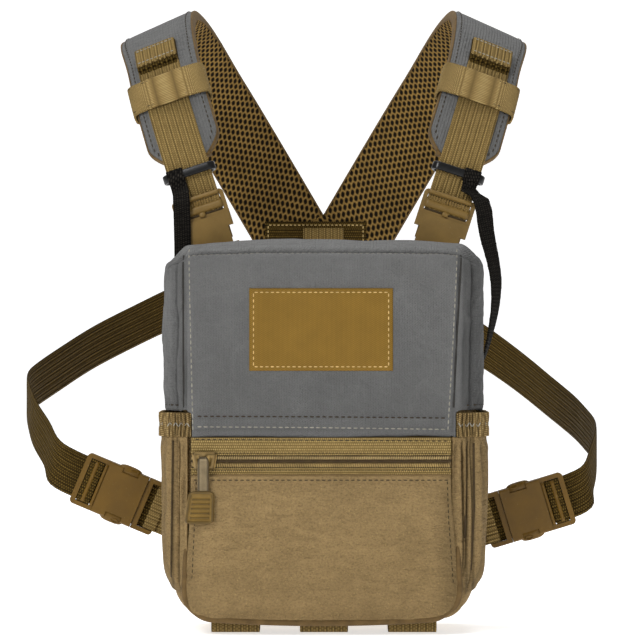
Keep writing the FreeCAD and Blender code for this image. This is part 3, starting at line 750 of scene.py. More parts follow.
def spline(points, step):
    """A smooth curve through the points, evenly sampled, with unit directions."""
    p = np.asarray(points, float)
    run = run_of(p)
    n = len(p)
    matrix, right = np.zeros((n, n)), np.zeros((n, 3))
    matrix[0, 0] = matrix[-1, -1] = 1
    gaps = np.diff(run)
    for i in range(1, n - 1):
        matrix[i, i - 1:i + 2] = gaps[i - 1], 2 * (gaps[i - 1] + gaps[i]), gaps[i]
        right[i] = 6 * ((p[i + 1] - p[i]) / gaps[i] - (p[i] - p[i - 1]) / gaps[i - 1])
    second = np.linalg.solve(matrix, right)
    places = np.linspace(0, run[-1], max(3, int(run[-1] / step)))
    k = np.clip(np.searchsorted(run, places) - 1, 0, n - 2)
    h, a, b = gaps[k][:, None], (run[k + 1] - places)[:, None], (places - run[k])[:, None]
    curve = ((second[k] * a ** 3 + second[k + 1] * b ** 3) / (6 * h)
             + (p[k] / h - second[k] * h / 6) * a + (p[k + 1] / h - second[k + 1] * h / 6) * b)
    return curve, unit_rows(np.gradient(curve, axis=0))


def strap(name, frames, half, low, high, columns=15, wave=0.0, seed=1, edge=6.0, start=0.0):
    """A woven strap swept through frames of (centre, along, wide, face); half may be a list."""
    centre, _, wide, face = stacked(frames)
    half = np.broadcast_to(np.asarray(half, float), len(frames))
    share = np.sin(np.linspace(-math.pi / 2, math.pi / 2, columns))
    across = half[:, None] * share
    bulge = np.sqrt(np.clip(1 - np.abs(share) ** edge, 0.02, 1))[None]
    middle, reach = (low + high) / 2, (high - low) / 2
    coords = grid_of(across, (start + run_of(centre))[:, None], 0.0)
    lift = wave * fbm(coords.reshape(-1, 3), 14.0, seed).reshape(across.shape)
    grids = []
    for way in (1, -1):
        out = middle + way * reach * bulge + lift
        grids.append(centre[:, None] + wide[:, None] * across[..., None] + face[:, None] * out[..., None])
    return plate(name, grids[0], grids[1], coords)


def nearest_coords(frames):
    """A function giving strap coordinates (across, along, out) for loose points."""
    centre, along, wide, face = stacked(frames)
    run = run_of(centre)
    batch = 4000

    def coords(points):
        out = np.zeros_like(points)
        for first in range(0, len(points), batch):
            p = points[first:first + batch]
            k = np.argmin(np.linalg.norm(p[:, None] - centre[None], axis=2), 1)
            d = p - centre[k]
            out[first:first + batch] = np.stack([np.sum(d * wide[k], 1), run[k] + np.sum(d * along[k], 1),
                                                 np.sum(d * face[k], 1)], -1)
        return out
    return coords


def woven_copy(name, node, frames, voxel, look, body):
    """A strap's CAD node as cloth whose weave follows the strap."""
    piece = soft_copy(name, [node], voxel, 1, None, nearest_coords(frames))
    return finish(piece, look, body, [node])


def pad_half(s):
    share = min(1.0, max(0.0, (s - PAD_START) / TIP_LENGTH))
    return PAD_TIP + (PAD_HALF - PAD_TIP) * math.sin(share * math.pi / 2)


def pad_trim(s):
    """How much the worn-in cover draws in from its outer edge, in front of the shoulder."""
    return 2.0 * (1 - smooth(s, 120, 175))


def pad_frame(side, s):
    centre, along, wide, face = shoulder_frame(side, s)
    return centre + wide * pad_trim(s), along, wide, face


def build_pad_edge(word, side, edge_name, way, frames, halves):
    """One edge's binding and its row of stitches."""
    path = [f[0] + f[2] * (way * (h - 0.4)) - f[3] * PAD_MIDDLE for f, h in zip(frames, halves)]
    normals = np.array([f[3] for f in frames])
    rim = tube("pad_binding_%s_%s" % (edge_name, word), path, 0.75, 3.3, normal=normals)
    finish(rim, "binding", "pack")
    places = []
    for s in np.arange(58, PAD_END - 2, 3.4):
        centre, along, wide, face = pad_frame(side, s)
        inset = pad_half(s) - pad_trim(s) - 3.6
        places.append((centre + wide * (way * inset) + face * -0.72, along, face))
    bead_row("pad_stitch_%s_%s" % (edge_name, word), places, 2.2, 0.32, "thread_dark", "pack")


def build_pads():
    for word, side in SIDES:
        places = np.concatenate([np.linspace(PAD_START, 66, 9), np.arange(70, PAD_END, 4.0), [PAD_END]])
        frames = [pad_frame(side, s) for s in places]
        halves = np.array([pad_half(s) - pad_trim(s) for s in places])
        shared = {"columns": 31, "edge": 9.0, "start": PAD_START}
        cover = strap("pad_cover_" + word, frames, halves - 0.4, -PAD_MIDDLE, -0.78, **shared)
        finish(cover, "grey", "pack", ["shoulder_cover_" + word, "shoulder_foam_" + word])
        lining = strap("pad_mesh_" + word, frames, halves - 0.4, -8.3, -4.7, **shared)
        finish(lining, "mesh", "pack", ["shoulder_mesh_" + word])
        build_pad_edge(word, side, "inner", 1, frames, halves)
        build_pad_edge(word, side, "outer", -1, frames, halves)
        centre, _, wide, face = frames[0]
        tip = [centre + wide * a - face * PAD_MIDDLE for a in np.linspace(-13.6, 13.6, 9)]
        finish(tube("pad_tip_binding_" + word, tip, 1.5, 3.2, normal=face), "binding", "pack")


def build_keepers():
    """The keepers, hoops of webbing round pad and strap, with the folded blocks above them."""
    turn = np.linspace(0, 2 * math.pi, 160, endpoint=False)
    powers = ((np.cos(turn), 0.28), (np.sin(turn), 0.45))
    c_turn, n_turn = (np.sign(f) * np.abs(f) ** power for f, power in powers)
    for word, side in SIDES:
        places = np.arange(87.5, 110.5, 1.5)
        frames = [pad_frame(side, s) for s in places]
        hoops = []
        for extra in (1.25, 0.05):
            c = c_turn * (PAD_HALF - 0.9 + extra)
            n = n_turn * (4.9 + extra) - 3.9
            n = n + 0.5 * smooth(WEB_HALF + 4.5 - np.abs(c), 0, 9) * (n > -3.9)
            hoops.append(np.array([[f[0] + f[2] * a + f[3] * b for a, b in zip(c, n)] for f in frames]))
        coords = np.array([[(a * 30, s, 0) for a in turn] for s in places])
        band = closed_band("keeper_" + word, hoops[0], hoops[1], coords)
        finish(band, "tan", "pack", ["keeper_band_" + word])
        for row, s in enumerate((89.6, 108.4)):
            centre, _, wide, face = shoulder_frame(side, s)
            stitches = [(centre + wide * a + face * (2.5 - 1.2 * (abs(a) > WEB_HALF + 0.5)), wide, face)
                        for a in np.arange(-20, 20.1, 2.9)]
            bead_row("keeper_stitch_%s_%d" % (word, row), stitches, 1.9, 0.3, "thread_dark", "pack")
        build_block(word, side)


def build_block(word, side):
    """The folded webbing above the keeper: three stacked layers with box stitching."""
    layers = ((118, 141, -0.7, 0.9), (120.5, 140, 0.9, 2.3), (122.5, 138.5, 2.3, 3.7))
    for layer, (start, end, low, high) in enumerate(layers):
        frames = shoulder_frames(side, np.linspace(start, end, 20))
        piece = strap("folded_webbing_%s_%d" % (word, layer), frames, WEB_HALF - 0.1 * layer, low, high,
                      wave=0.12, seed=layer + side + 3)
        top = layer == len(layers) - 1
        stands = ["webbing_block_" + word] if top else []
        finish(piece, "tan_ribbed" if top else "dark", "pack", stands)
    places = []
    for centre, _, wide, face in shoulder_frames(side, (125.0, 136.5)):
        places += [(centre + wide * a + face * 3.75, wide, face) for a in np.arange(-10.5, 10.6, 2.6)]
    bead_row("block_stitch_" + word, places, 1.9, 0.35, "thread_pale", "pack")


def webbing_tint(p):
    """Darker in the shadow of the keeper, paler towards the ring."""
    z = p[:, 2]
    return (1.0 - 0.35 * smooth(z, 176, 196) * (1 - smooth(z, 196, 215))) * (1.08 - 0.1 * smooth(z, 150, 190))


def build_shoulder_webbing():
    for word, side in SIDES:
        frames = shoulder_frames(side, np.arange(0, 128, 2.0))
        piece = woven_copy("shoulder_web_" + word, "shoulder_webbing_" + word, frames, 0.55, "tan_ribbed",
                           "pack")
        write_shade(piece.data, webbing_tint(points_of(piece.data)))


def upright_weave(p):
    """Weave coordinates for cloth that hangs upright: across, up, out."""
    return p[:, [0, 2, 1]]


def build_yoke_patch():
    """A darker reinforcement sewn across the yoke under the tab."""
    gx, gz = np.meshgrid(np.linspace(-37.5, 27.5, 40), np.linspace(99, 124, 16))
    front = grid_of(gx, 225.75 - 0.25 * np.cos(gx / 3), gz)
    patch = plate("yoke_patch", front, grid_of(gx, 226.3, gz), grid_of(gz, gx, 0.0))
    finish(patch, "dark", "pack")
    corners = [(-35.5, 224, 108), (-35.5, 224, 121.8), (25.5, 224, 121.8), (25.5, 224, 108)]
    stitched_outline("yoke_patch_stitch", surface_of(patch), corners, 14, INWARD, "pack", 2.6, 1.8, 0.32)


def build_yoke_tab():
    """The webbing tab sewn over the patch."""
    gx, gz = np.meshgrid(np.linspace(-13, 13, 15), np.linspace(96, 120, 12))
    bow = 0.5 * np.sqrt(np.clip(1 - (np.abs(gx) / 13.2) ** 6, 0, 1))
    tab = plate("yoke_tab", grid_of(gx, 225.2 - bow, gz), grid_of(gx, 226.0, gz), grid_of(gx, gz, 0.0))
    finish(tab, "tan_ribbed", "pack", ["yoke_loop"])


def build_yoke_boxes():
    """Box stitches with one diagonal where each side strap meets the yoke."""
    for word, _ in SIDES:
        foot = np.array(SIDE_ROUTES[word][-1], float)
        lean = unit(foot - np.array(SIDE_ROUTES[word][-4], float))
        wide = np.cross(lean, (0, 1.0, 0))
        box = [foot + lean * a + wide * b + (0, 6, 0)
               for a, b in ((-2, -10), (-2, 10), (-20, 10), (-20, -10), (-2, -10), (-20, 10))]
        cloth = surface_of(BACK_STRAPS[word])
        stitched_outline("yoke_box_" + word, cloth, box, 12, TO_FRONT, "pack", 2.8, 2.0, 0.35)


def build_yoke():
    back = soft_copy("yoke_back", ["yoke_foam", "yoke_cover"], 1.3, 4, None, upright_weave)
    finish(back, "grey", "pack", ["yoke_foam", "yoke_cover"])
    lining = soft_copy("yoke_lining", ["yoke_mesh"], 0.7, 1, None, upright_weave)
    finish(lining, "mesh", "pack", ["yoke_mesh"])
    build_yoke_tab()
    build_yoke_patch()
    tree = surface_of(lining)
    for name, path in (("upper", [(-40, 226, 121), (0, 226, 119.5), (40, 226, 121)]),
                       ("lower", [(-41, 226, 78), (41, 226, 78)])):
        stitch_line("yoke_stitch_" + name, tree, path, INWARD, "thread_dark", "pack")
    build_yoke_boxes()
    edge = line_between((-44, 230.6, 75), (44, 230.6, 75), 30)
    finish(tube("yoke_binding", edge, 2.9, 1.8, normal=(0, 0, 1)), "binding", "pack")


def side_axes(word, side):
    """The side buckle's mouth, outward, across and front directions."""
    x, z, rise = SIDE_MOUTH[word]
    rise = math.radians(rise)
    outward = np.array([side * math.cos(rise), 0, math.sin(rise)])
    mouth = np.array([x, -5.0, z]) - outward * BUCKLE_LONG
    front = np.array(TO_FRONT)
    return mouth, outward, np.cross(front, outward), front


BACK_STRAPS = {}


def buckle_frames(axes, places, lift=0.0):
    """Frames along a side buckle, at places measured from its mouth."""
    mouth, outward, across, front = axes
    return [(mouth + outward * u + front * lift, outward, across, front) for u in places]


def build_side_straps():
    for word, side in SIDES:
        axes = side_axes(word, side)
        points = []
        for reach, back in ((20, 1.8), (30, 2.2), (40, 2.8)):
            p = axes[0] + axes[1] * reach
            points.append((p[0], back, p[2]))
        curve, tangent = spline(points + list(SIDE_ROUTES[word]), 3.0)
        frames = route_frames(curve, tangent, [np.array([0, 0, 1.0])] * len(curve))
        piece = strap("side_strap_run_" + word, frames, WEB_HALF, -0.75, 0.75, 17)
        finish(piece, "dark", "pack", ["side_strap_" + word])
        BACK_STRAPS[word] = piece
        woven_copy("side_wrap_web_" + word, "side_wrap_" + word,
                   buckle_frames(axes, np.arange(10, 52, 2.0)), 0.5,
                   "dark", "side_buckle_" + word)
        woven_copy("side_tab_web_" + word, "side_tab_" + word,
                   buckle_frames(axes, np.arange(-60, 2, 2.0)), 0.55,
                   "tan_ribbed", "pack")


def build_tethers():
    """The black tethers, which leave the rings flat and turn edge on where they are sewn."""
    across_body, front_to_back = np.array([1.0, 0, 0]), np.array([0, 1.0, 0])
    for word, side in SIDES:
        centre, along, wide, _ = shoulder_frame(side, 41)
        start = centre - wide * 8 - along * 6
        curve, tangent = spline([start] + [np.array(p, float) for p in TETHER_ROUTES[word]], 3)
        last = across_body if side < 0 else front_to_back
        shares = np.arange(len(curve)) / (len(curve) - 1)
        widths = [across_body * (1 - share) + last * share for share in shares]
        woven_copy("tether_web_" + word, "tether_" + word, route_frames(curve, tangent, widths), 0.5, "black",
                   "pack")
        ring = moulded_copy("tether_ring_round_" + word, "tether_ring_" + word, 0.75, 3)
        finish(ring, "ring", "pack", ["tether_ring_" + word])
        smooth_faces(ring.data)


def lozenge(name, middle, along, across, front, half):
    """A rounded moulded pad; half gives its half length, half width and height."""
    power = 3.0
    turn = np.linspace(0, 2 * math.pi, 25)[:-1]
    rise = np.linspace(0, 1, 7)[:, None]
    spread = (1 - rise ** power) ** (1 / power)
    spread[-1] = 0.02
    c, d = (np.sign(f) * np.abs(f) ** (2 / power) for f in (np.cos(turn), np.sin(turn)))
    grid = (middle + along * (half[0] * spread * c)[..., None] + across * (half[1] * spread * d)[..., None]
            + front * (half[2] * rise + 0 * c)[..., None])
    rows, cols = grid.shape[:2]
    return put(name, grid.reshape(-1, 3), ring_faces(rows - 1, cols, rows) + end_faces(cols, rows))


def crossbar(name, middle, across, half, wide, tall, sides, look, body):
    """A rounded bar running across a buckle."""
    line = [middle + across * a for a in np.linspace(-half, half, 15)]
    return finish(tube(name, line, wide, tall, sides, normal=TO_FRONT), look, body)


def build_thumb(word, tag, way, deck, outward, across, front):
    """One prong's thumb pad, with a dimple ring on it."""
    prong = "side_prong_%s_%s" % (word, tag)
    spot = deck + outward * 11.6 + across * (way * 13.9) - front * 1.8
    cushion = lozenge("thumb_pad_%s_%s" % (word, tag), spot, outward, across, front, (7.2, 3.4, 2.6))
    finish(cushion, "buckle", prong)
    spot = spot + front * 2.45 + across * (way * 1.6) - outward * 2.4
    turn = np.linspace(0, 2 * math.pi, 21)[:-1]
    ring = [spot + outward * (2.2 * math.cos(a)) + across * math.sin(a) for a in turn]
    dimple = tube("thumb_dimple_%s_%s" % (word, tag), ring, 0.4, 0.3, 8, closed=True)
    finish(dimple, "buckle", prong)


def build_buckle_details(word, side):
    """Thumb pads, ladder bar, nub and rim on the moulded parts, and the webbing folded at the mouth."""
    axes = side_axes(word, side)
    mouth, outward, across, front = axes
    if side > 0:
        across = -across
    deck = mouth + front * 3.3
    female = "side_buckle_" + word
    build_thumb(word, "upper", -1, deck, outward, across, front)
    build_thumb(word, "lower", 1, deck, outward, across, front)
    crossbar("ladder_bar_" + word, deck + outward * 31.0 - front * 0.7, across,
             12.2, 1.35, 1.2, 12, "buckle", female)
    nub = lozenge("ladder_nub_" + word, deck + outward * 28.4 - front * 1.2,
                  outward, across, front, (1.6, 1.8, 1.2))
    finish(nub, "buckle", female)
    crossbar("body_rim_" + word, deck + outward * 25.4, across, 12.6, 0.9, 0.35, 10, "buckle", female)
    axes = (mouth, outward, across, front)
    bend = buckle_frames(axes, np.arange(-8.0, -0.9, 1.0), 0.4)
    fold = strap("side_tab_fold_" + word, bend, 12.9, -0.7, 0.7)
    finish(fold, "dark", "pack")
    # A dark sheet in the buckle's mouth: painted shadow in the recess.
    recess = buckle_frames(axes, np.arange(-2.0, 2.1, 1.0), -1.2)
    throat = strap("side_throat_shadow_" + word, recess, 13.5, -0.7, 0.7, 9)
    finish(throat, "painted_shadow_brown", "pack")


def build_shoulder_ladder(word, side):
    """The serrated bar, broad bar and nub over the shoulder buckle's slot."""
    end, outward, _, _ = shoulder_frame(side, LADDER_PLACE)
    outward = unit(outward * np.array([1, 0, 1]))
    front = np.array(TO_FRONT)
    across = np.cross(outward, front)
    mouth = end - outward * BUCKLE_LONG
    mouth[1] = LADDER_FACE
    teeth = [(mouth + outward * 33.4 + across * a, outward, front) for a in np.arange(-12, 12.1, 1.6)]
    bead_row("shoulder_ladder_teeth_" + word, teeth, 3.4, 0.6, "buckle_painted_light", "pack")
    for name, reach, wide, tall in (("top", 36.6, 1.2, 1.0), ("broad", 29.6, 2.3, 1.1)):
        crossbar("shoulder_ladder_%s_%s" % (name, word), mouth + outward * reach, across, 13, wide, tall, 14,
                 "buckle_painted_light", "pack")
    # A dark bar in the slot: painted shadow.
    crossbar("shoulder_slot_shadow_" + word, mouth + outward * 26.4 - front * 0.5, across, 12.5, 0.8, 0.6, 8,
             "painted_shadow_brown", "pack")
    nub = lozenge("shoulder_nub_" + word, mouth + outward * 26.2, outward, across, front, (1.5, 1.9, 1.1))
    finish(nub, "buckle_painted_light", "pack")


def build_buckles():
    for word, side in SIDES:
        female = "side_buckle_" + word
        halves = (("side_male_", "buckle", "pack"), ("shoulder_female_", "buckle_painted_light", "pack"),
                  ("shoulder_male_", "buckle_painted_light", "pack"), ("side_female_", "buckle", female))
        for stem, look, body in halves:
            piece = moulded_copy(stem + "moulded_" + word, stem + word, 0.55)
            finish(piece, look, body, [stem + word])
        for tag in ("upper", "lower"):
            node = "side_prong_%s_%s" % (word, tag)
            finish(moulded_copy(node + "_moulded", node, 0.35), "buckle", node, [node])
        build_buckle_details(word, side)
        build_shoulder_ladder(word, side)
        frames = shoulder_frames(side, np.arange(-60, 0, 2.0))
        woven_copy("shoulder_tab_web_" + word, "shoulder_tab_" + word, frames, 0.55,
                   "tan", "pack")


# ---- the pack's body --------------------

def outward_field(p, centre, half, radius):
    """Direction away from a rounded block, the same on both faces of a wall."""
    d = p - np.array(centre, float)
    over = np.maximum(np.abs(d) - (np.array(half, float) - radius), 0)
    out = np.sign(d) * over
    length = np.linalg.norm(out, axis=1)[:, None]
    return out / np.maximum(length, 1e-6)


def round_weave(p):
    """Weave coordinates that run round the body, for the gathered bands."""
    return grid_of(p[:, 1] + np.abs(p[:, 0]), p[:, 2], 0.0)


def folded_weave(p):
    """Weave coordinates for the bottom loops, which turn under the body."""
    return grid_of(p[:, 0], p[:, 1] + p[:, 2], 0.0)


def shape_lid(p):
    """Padded top and front, loose wings, dents along the seams and drooping top corners."""
    x, y, z = p.T
    out = outward_field(p, (0, -48, 55), (89, 36, 50), 14)
    front, wing, top = smooth(-y, 74, 82), smooth(np.abs(x), 76, 82), smooth(z, 96, 104)
    swell = 1.0 * fbm(p, 38, 11) + 0.5 * creases(p, 30, 13)
    loose = 1.9 * fbm(p * np.array([1, 1, 0.45]), 20, 21) + 0.7 * fbm(p, 12, 25)
    seams = groove(x, z, (-78.6, 108), (-78.2, -6), 0.9) + groove(x, z, (76.9, 108), (71.4, -6), 0.9)
    tucks = 1.6 * groove(x, z, (-81, 68), (-87.4, 58), 1.5) + 1.3 * groove(x, z, (83.5, 71), (84.5, 64), 1.8)
    rows = ridge(z - 6.9, 0.8) + ridge(z - 0.8, 0.8)
    dents = 1.2 * ridge(np.abs(x) - 80.5, 2.2) + 1.3 * seams + 0.45 * rows + tucks
    dents = dents - 0.5 * smooth(-z, -8.5, -6.5)
    amount = 0.5 + swell * front * (1 - wing) + loose * wing * (1 - 0.4 * top) - dents * front
    amount = amount + (0.7 * fbm(p, 26, 31) - 0.8 * ridge(y + 82, 1.2)) * top
    q = p + out * np.clip(amount, -0.4, 3.0)[:, None]
    slack = np.where(x < 0, 3.6, 2.0) * np.clip(np.abs(x) / 84, 0, 1.1) ** 3
    bow = 0.7 * np.cos(x / 89 * math.pi / 2) - slack
    corner = np.where(x < 0, 7.0, 5.0) * smooth(np.abs(x), 76, 92) * smooth(z, 80, 106)
    hem = smooth(-z, 0, 3) * front * (0.2 + 0.9 * (x + 74) / 148)
    q[:, 2] += bow * top - corner - hem
    return soften(q, True)


def shape_shell(p):
    out = outward_field(p, (0, -40, -9), (84, 40, 95), 10)
    amount = 0.35 * fbm(p, 26, 41) + 0.5 * creases(p, 20, 45) * smooth(-p[:, 2], 60, 95)
    q = p + out * np.clip(amount, -0.3, 0.8)[:, None]
    return fill_corners(soften(q, True), 4.0)


def from_pocket_side(x):
    """Distance in from the nearer side of the front pocket."""
    return np.minimum(x - POCKET_LEFT, POCKET_RIGHT - x)


def shape_front_pocket(p):
    """A cushion that swells inside its rounded edge; its sides lean with the body's."""
    x, y, z = p.T
    q = p.copy()
    share = smooth(-z, 25, 96)
    q[:, 0] += np.where(x < 0, (2.6 - 4.2 * share) * smooth(-x, 40, 77), 4.8 * share * smooth(x, 40, 71))
    side, foot = from_pocket_side(x), z - POCKET_FOOT
    corner = POCKET_ROUND - np.hypot(np.maximum(POCKET_ROUND - side, 0), np.maximum(POCKET_ROUND - foot, 0))
    edge = np.where((side < POCKET_ROUND) & (foot < POCKET_ROUND), corner, np.minimum(side, foot))
    puff = smooth(edge, -1, 15)
    fold = creases(p * np.array([0.7, 1, 1.25]), 24, 61)
    ripple = 0.8 * fold + 0.45 * fbm(p * np.array([0.7, 1, 1.3]), 8, 65) + 0.6 * fbm(p, 30, 69)
    depth = 3.6 * (1 - puff) - 1.6 * puff - ripple * (0.35 + 0.65 * puff)
    q[:, 1] += smooth(-y, 81, 84.5) * smooth(-z, 25, 40) * depth
    q[:, 2] -= 0.8 * smooth(-z, 86, 106)
    return fill_corners(soften(q, low=False), 3.6)


def level_field(p, side, height):
    """Outward directions of a side pocket's wall, kept level."""
    out = outward_field(p, (side * 40, -44, height), (51, 40, 60), 9)
    out[:, 2] = 0
    return out


def shape_side_pocket(p, side):
    """A gathered wall with deep pleats at its front corner."""
    x, y, z = p.T
    gather = 0.5 + 0.5 * np.sin((y + np.abs(x)) * 2 * math.pi / 9.0 + 2.2 * fbm(p, 30, 71))
    amount = gather * (0.2 + 0.8 * smooth(z, -70, -5)) + 1.2 * fbm(p * np.array([1, 1, 0.3]), 15, 75) - 0.2
    for place in FOLDS[side]:
        bend = place + 1.2 * np.sin(z / 30 + place)
        amount = amount - 2.6 * ridge(np.abs(x) - bend, 1.1) * smooth(-y, 70, 80) * smooth(z, -90, -60)
    amount = amount * smooth(z + 96, 0, 9) * smooth(-z, 4.2, 12)
    q = p + level_field(p, side, -40) * amount[:, None]
    return soften(round_off(q, (0, 2), (side, -1), (59, 66), (32.5, 30), 3.2))


def shape_band(p, side):
    """The ribs of a gathered band, pinched along its zigzag stitches."""
    x, y, z = p.T
    rib = np.sin((y + np.abs(x)) * 2 * math.pi / 3.6 + 0.8 * np.sin(z / 2.2))
    amount = 0.6 + 0.75 * rib - 0.5 * ridge(z - BAND_SEAM, 1.5)
    return soften(p + level_field(p, side, 2) * amount[:, None])


def shape_panel(p):
    """The back panel's quilting and its thinner edges."""
    x, y, z = p.T
    q = p.copy()
    quilt = ridge(np.abs(x) - 27, 2.2) + ridge(z - 38, 2.2) + ridge(z + 42, 2.2)
    q[:, 1] -= smooth(y, -7, -0.5) * np.clip(2.4 * quilt + 2.0 * smooth(np.abs(x), 70, 81), 0, 3.2)
    return q


def lid_painted_light(p):
    """Painted light along the top, painted shade towards the hem and round the two wings."""
    x, _, z = p.T
    along = 1.1 - 0.17 * smooth(-z, -95, 20) + 0.1 * smooth(z, 88, 104)
    return along * (1 - 0.2 * smooth(-x, 76, 81) - 0.44 * smooth(x, 74, 82))


def pocket_painted_shade(p):
    """Painted shade round the edge, towards the foot and on the right."""
    x, _, z = p.T
    edge = np.minimum(from_pocket_side(x), z + 118)
    level = (0.84 + 0.18 * smooth(edge, 0, 11)) * (1.04 - 0.08 * smooth(-z, 60, 104))
    return level * (1 - 0.1 * smooth(x, 45, 75))


def side_painted_shade(p):
    """Painted light at the front corner, painted shade in the pleats and a little painted shade on the right.
    """
    x, y, _ = p.T
    fold = sum(ridge(x - place, 0.75) for place in (-84.4, 79.6, 83.4)) * smooth(-y, 60, 72)
    return (0.8 + 0.19 * smooth(-y, 66, 82)) * (1 - 0.06 * smooth(x, 0, 10)) * (1 - 0.5 * fold)


def build_side_pockets():
    for word, side in SIDES:
        piece = soft_copy("side_pocket_fabric_" + word, ["side_pocket_" + word], 0.75, 2,
                          lambda p, side=side: shape_side_pocket(p, side))
        finish(piece, "brown", "pack", ["side_pocket_" + word])
        paint_shading(piece, 0.45, side_painted_shade)
        band = soft_copy("pocket_band_gathered_" + word, ["pocket_band_" + word], 0.6, 1,
                         lambda p, side=side: shape_band(p, side), round_weave)
        finish(band, "elastic", "pack", ["pocket_band_" + word])
        paint_shading(band, 0.3)
        build_band_stitches(word, side, surface_of(band))
        tree = surface_of(piece)
        # Dark lines in the pleats: painted shade.
        for k, path in enumerate(POCKET_PLEATS[word]):
            seam_line("pocket_pleat_%s_%d" % (word, k), tree, path, "painted_shadow_brown", "pack", 0.6)


def build_body():
    """The cloth bodies of lid, shell, front pocket, back panel, side pockets and bottom loops."""
    lid = soft_copy("lid_fabric", ["lid_cover"], 1.25, 3, shape_lid)
    finish(lid, "grey", "lid", ["lid_cover"])
    paint_shading(lid, 1.7, lid_painted_light)
    shell = soft_copy("shell_fabric", ["main_shell"], 1.5, 3, shape_shell)
    finish(shell, "brown", "pack", ["main_shell"])
    paint_shading(shell, 1.2)
    pocket = soft_copy("front_pocket_fabric", ["front_pocket"], 1.1, 3, shape_front_pocket)
    finish(pocket, "brown", "pack", ["front_pocket"])
    paint_shading(pocket, 2.2, pocket_painted_shade)
    panel_nodes = ["back_panel_pad", "back_panel_mesh"]
    panel = soft_copy("back_panel_quilted", panel_nodes, 1.6, 4, shape_panel, upright_weave)
    finish(panel, "mesh", "pack", panel_nodes)
    build_side_pockets()
    for word in ("left", "centre", "right"):
        loop = soft_copy("bottom_loop_web_" + word, ["bottom_loop_" + word], 0.6, 2, soften, folded_weave)
        finish(loop, "tan_ribbed", "pack", ["bottom_loop_" + word])
        # Painted shade: the loops under the body are darkened all over.
        write_shade(loop.data, np.full(len(loop.data.vertices), 0.84))
    return lid, pocket


def build_lid_seams(tree):
    """The lid's stitch rows and the dark seams beside them."""
    y = -84
    rows = (
        ("lid_stitch_left", [(-75.4, y, 101), (-74.2, y, 50), (-72.9, y, -1)], "thread_pale"),
        ("lid_stitch_right", [(74.4, y, 101), (71.9, y, 50), (69.0, y, -1)], "thread_pale"),
        ("lid_hem_upper", [(-71, y, 7.2), (0, y, 6.9), (68, y, 6.2)], "thread_dark"),
        ("lid_hem_lower", [(-71, y, 1.4), (0, y, 0.9), (68, y, -0.1)], "thread_pale"),
        ("lid_wing_hem_left", [(-86, y, 13.4), (-80, y, 13.2)], "thread_dark"),
        ("lid_wing_hem_right", [(78, y, 13.2), (86, y, 13.4)], "thread_dark"),
    )
    for name, path, look in rows:
        stitch_line(name, tree, path, INWARD, look, "lid", 3.4, 2.4, 0.4)
    # Dark lines of painted shadow in the lid's side seams.
    for word, path in (("left", [(-78.6, y, 98), (-78.4, y, 40), (-78.2, y, 11)]),
                       ("right", [(76.7, y, 98), (74.0, y, 50), (72.2, y, 11)])):
        seam_line("lid_seam_" + word, tree, path, "seam", "lid", 0.55)
    for word, side in SIDES:
        path = [(side * 89, -78, 13.4), (side * 89, -18, 13.4)]
        stitch_line("lid_side_hem_" + word, tree, path, (-side, 0, 0), "thread_dark", "lid")
    stitch_line("lid_top_stitch", tree, [(-74, -78, 105), (74, -78, 105)], (0, 0, -1), "thread_pale", "lid")


def build_piping():
    """The bound edge that shows below the front pocket and round its lower corners."""
    path = [(-77.8, -80.6, -60.0), (-78.8, -83.0, -72.0), (-79.4, -84.2, -84.0)]
    for middle, first in ((-61.0, 180), (58.0, 270)):
        for a in np.radians(first + np.linspace(0, 90, 9)):
            path.append((middle + 18.6 * math.cos(a), -85.0, -89.0 + 18.3 * math.sin(a)))
    path += [(76.4, -84.2, -84.0), (75.6, -83.0, -72.0), (74.6, -80.6, -60.0)]
    curve, _ = spline(path, 2.5)
    finish(tube("pocket_piping", bent(curve), 1.7, 1.5), "binding", "pack")


def build_seams(lid, pocket):
    build_lid_seams(surface_of(lid))
    tree = surface_of(pocket)
    for name, path in (
            ("top_stitch", [(-73, -88, -28.2), (69.5, -88, -28.2)]),
            ("stitch_left", [(-71, -88, -28), (-72, -88, -52), (-73.5, -88, -84)]),
            ("stitch_right", [(68.5, -88, -28), (69.5, -88, -52), (72, -88, -86)])):
        stitch_line("pocket_" + name, tree, path, INWARD, "thread_dark", "pack")
    build_piping()


def build_band_stitches(word, side, tree):
    """Zigzag stitches round the band of a side pocket."""
    front = [(side * (75.6 + run), -84.0, BAND_SEAM) for run in np.arange(0, 12, 1.6)]
    flank = [(side * 92, y, BAND_SEAM) for y in np.arange(-72, -15, 1.6)]
    rows = (("front", front, INWARD, (1.0, 0)), ("side", flank, (-side, 0, 0), (0, 1.0)))
    for name, places, direction, along in rows:
        found, normals = dropped(tree, places, direction, 0.05)
        tilt = [(*along, 1.7 if k % 2 else -1.7) for k in range(len(found))]
        zigzag = beads("band_zigzag_%s_%s" % (name, word), found, tilt, normals, 2.6, 0.32)
        finish(zigzag, "thread_pale", "pack")


def bent(points):
    """Softened corners for a grid or line of points."""
    return soften(points.reshape(-1, 3)).reshape(points.shape)


def build_tape(name, low, high, rows, stitches):
    """One zipper tape, slightly wavy, and its stitch rows, each given by its name, levels and sizes."""
    gx, gz = np.meshgrid(np.linspace(-74.5, 71, 98), np.linspace(high, low, rows)[::-1])
    wave = 0.12 * np.sin(gx / 9) + 0.1 * np.sin(gx / 3.7 + gz)
    front, rear = grid_of(gx, -85.7 + wave, gz), grid_of(gx, -84.8, gz)
    tape = plate("zip_tape_" + name, bent(front), bent(rear), grid_of(gz, gx, 0.0))
    finish(tape, "tape", "pack", ["zipper_tape_" + name])
    tree = surface_of(tape)
    for stem, ends, *sizes in stitches:
        path = [(x, ZIP_FACE, z) for x, z in ends]
        stitch_line("tape_" + stem, tree, path, INWARD, "thread_dark", "pack", *sizes)


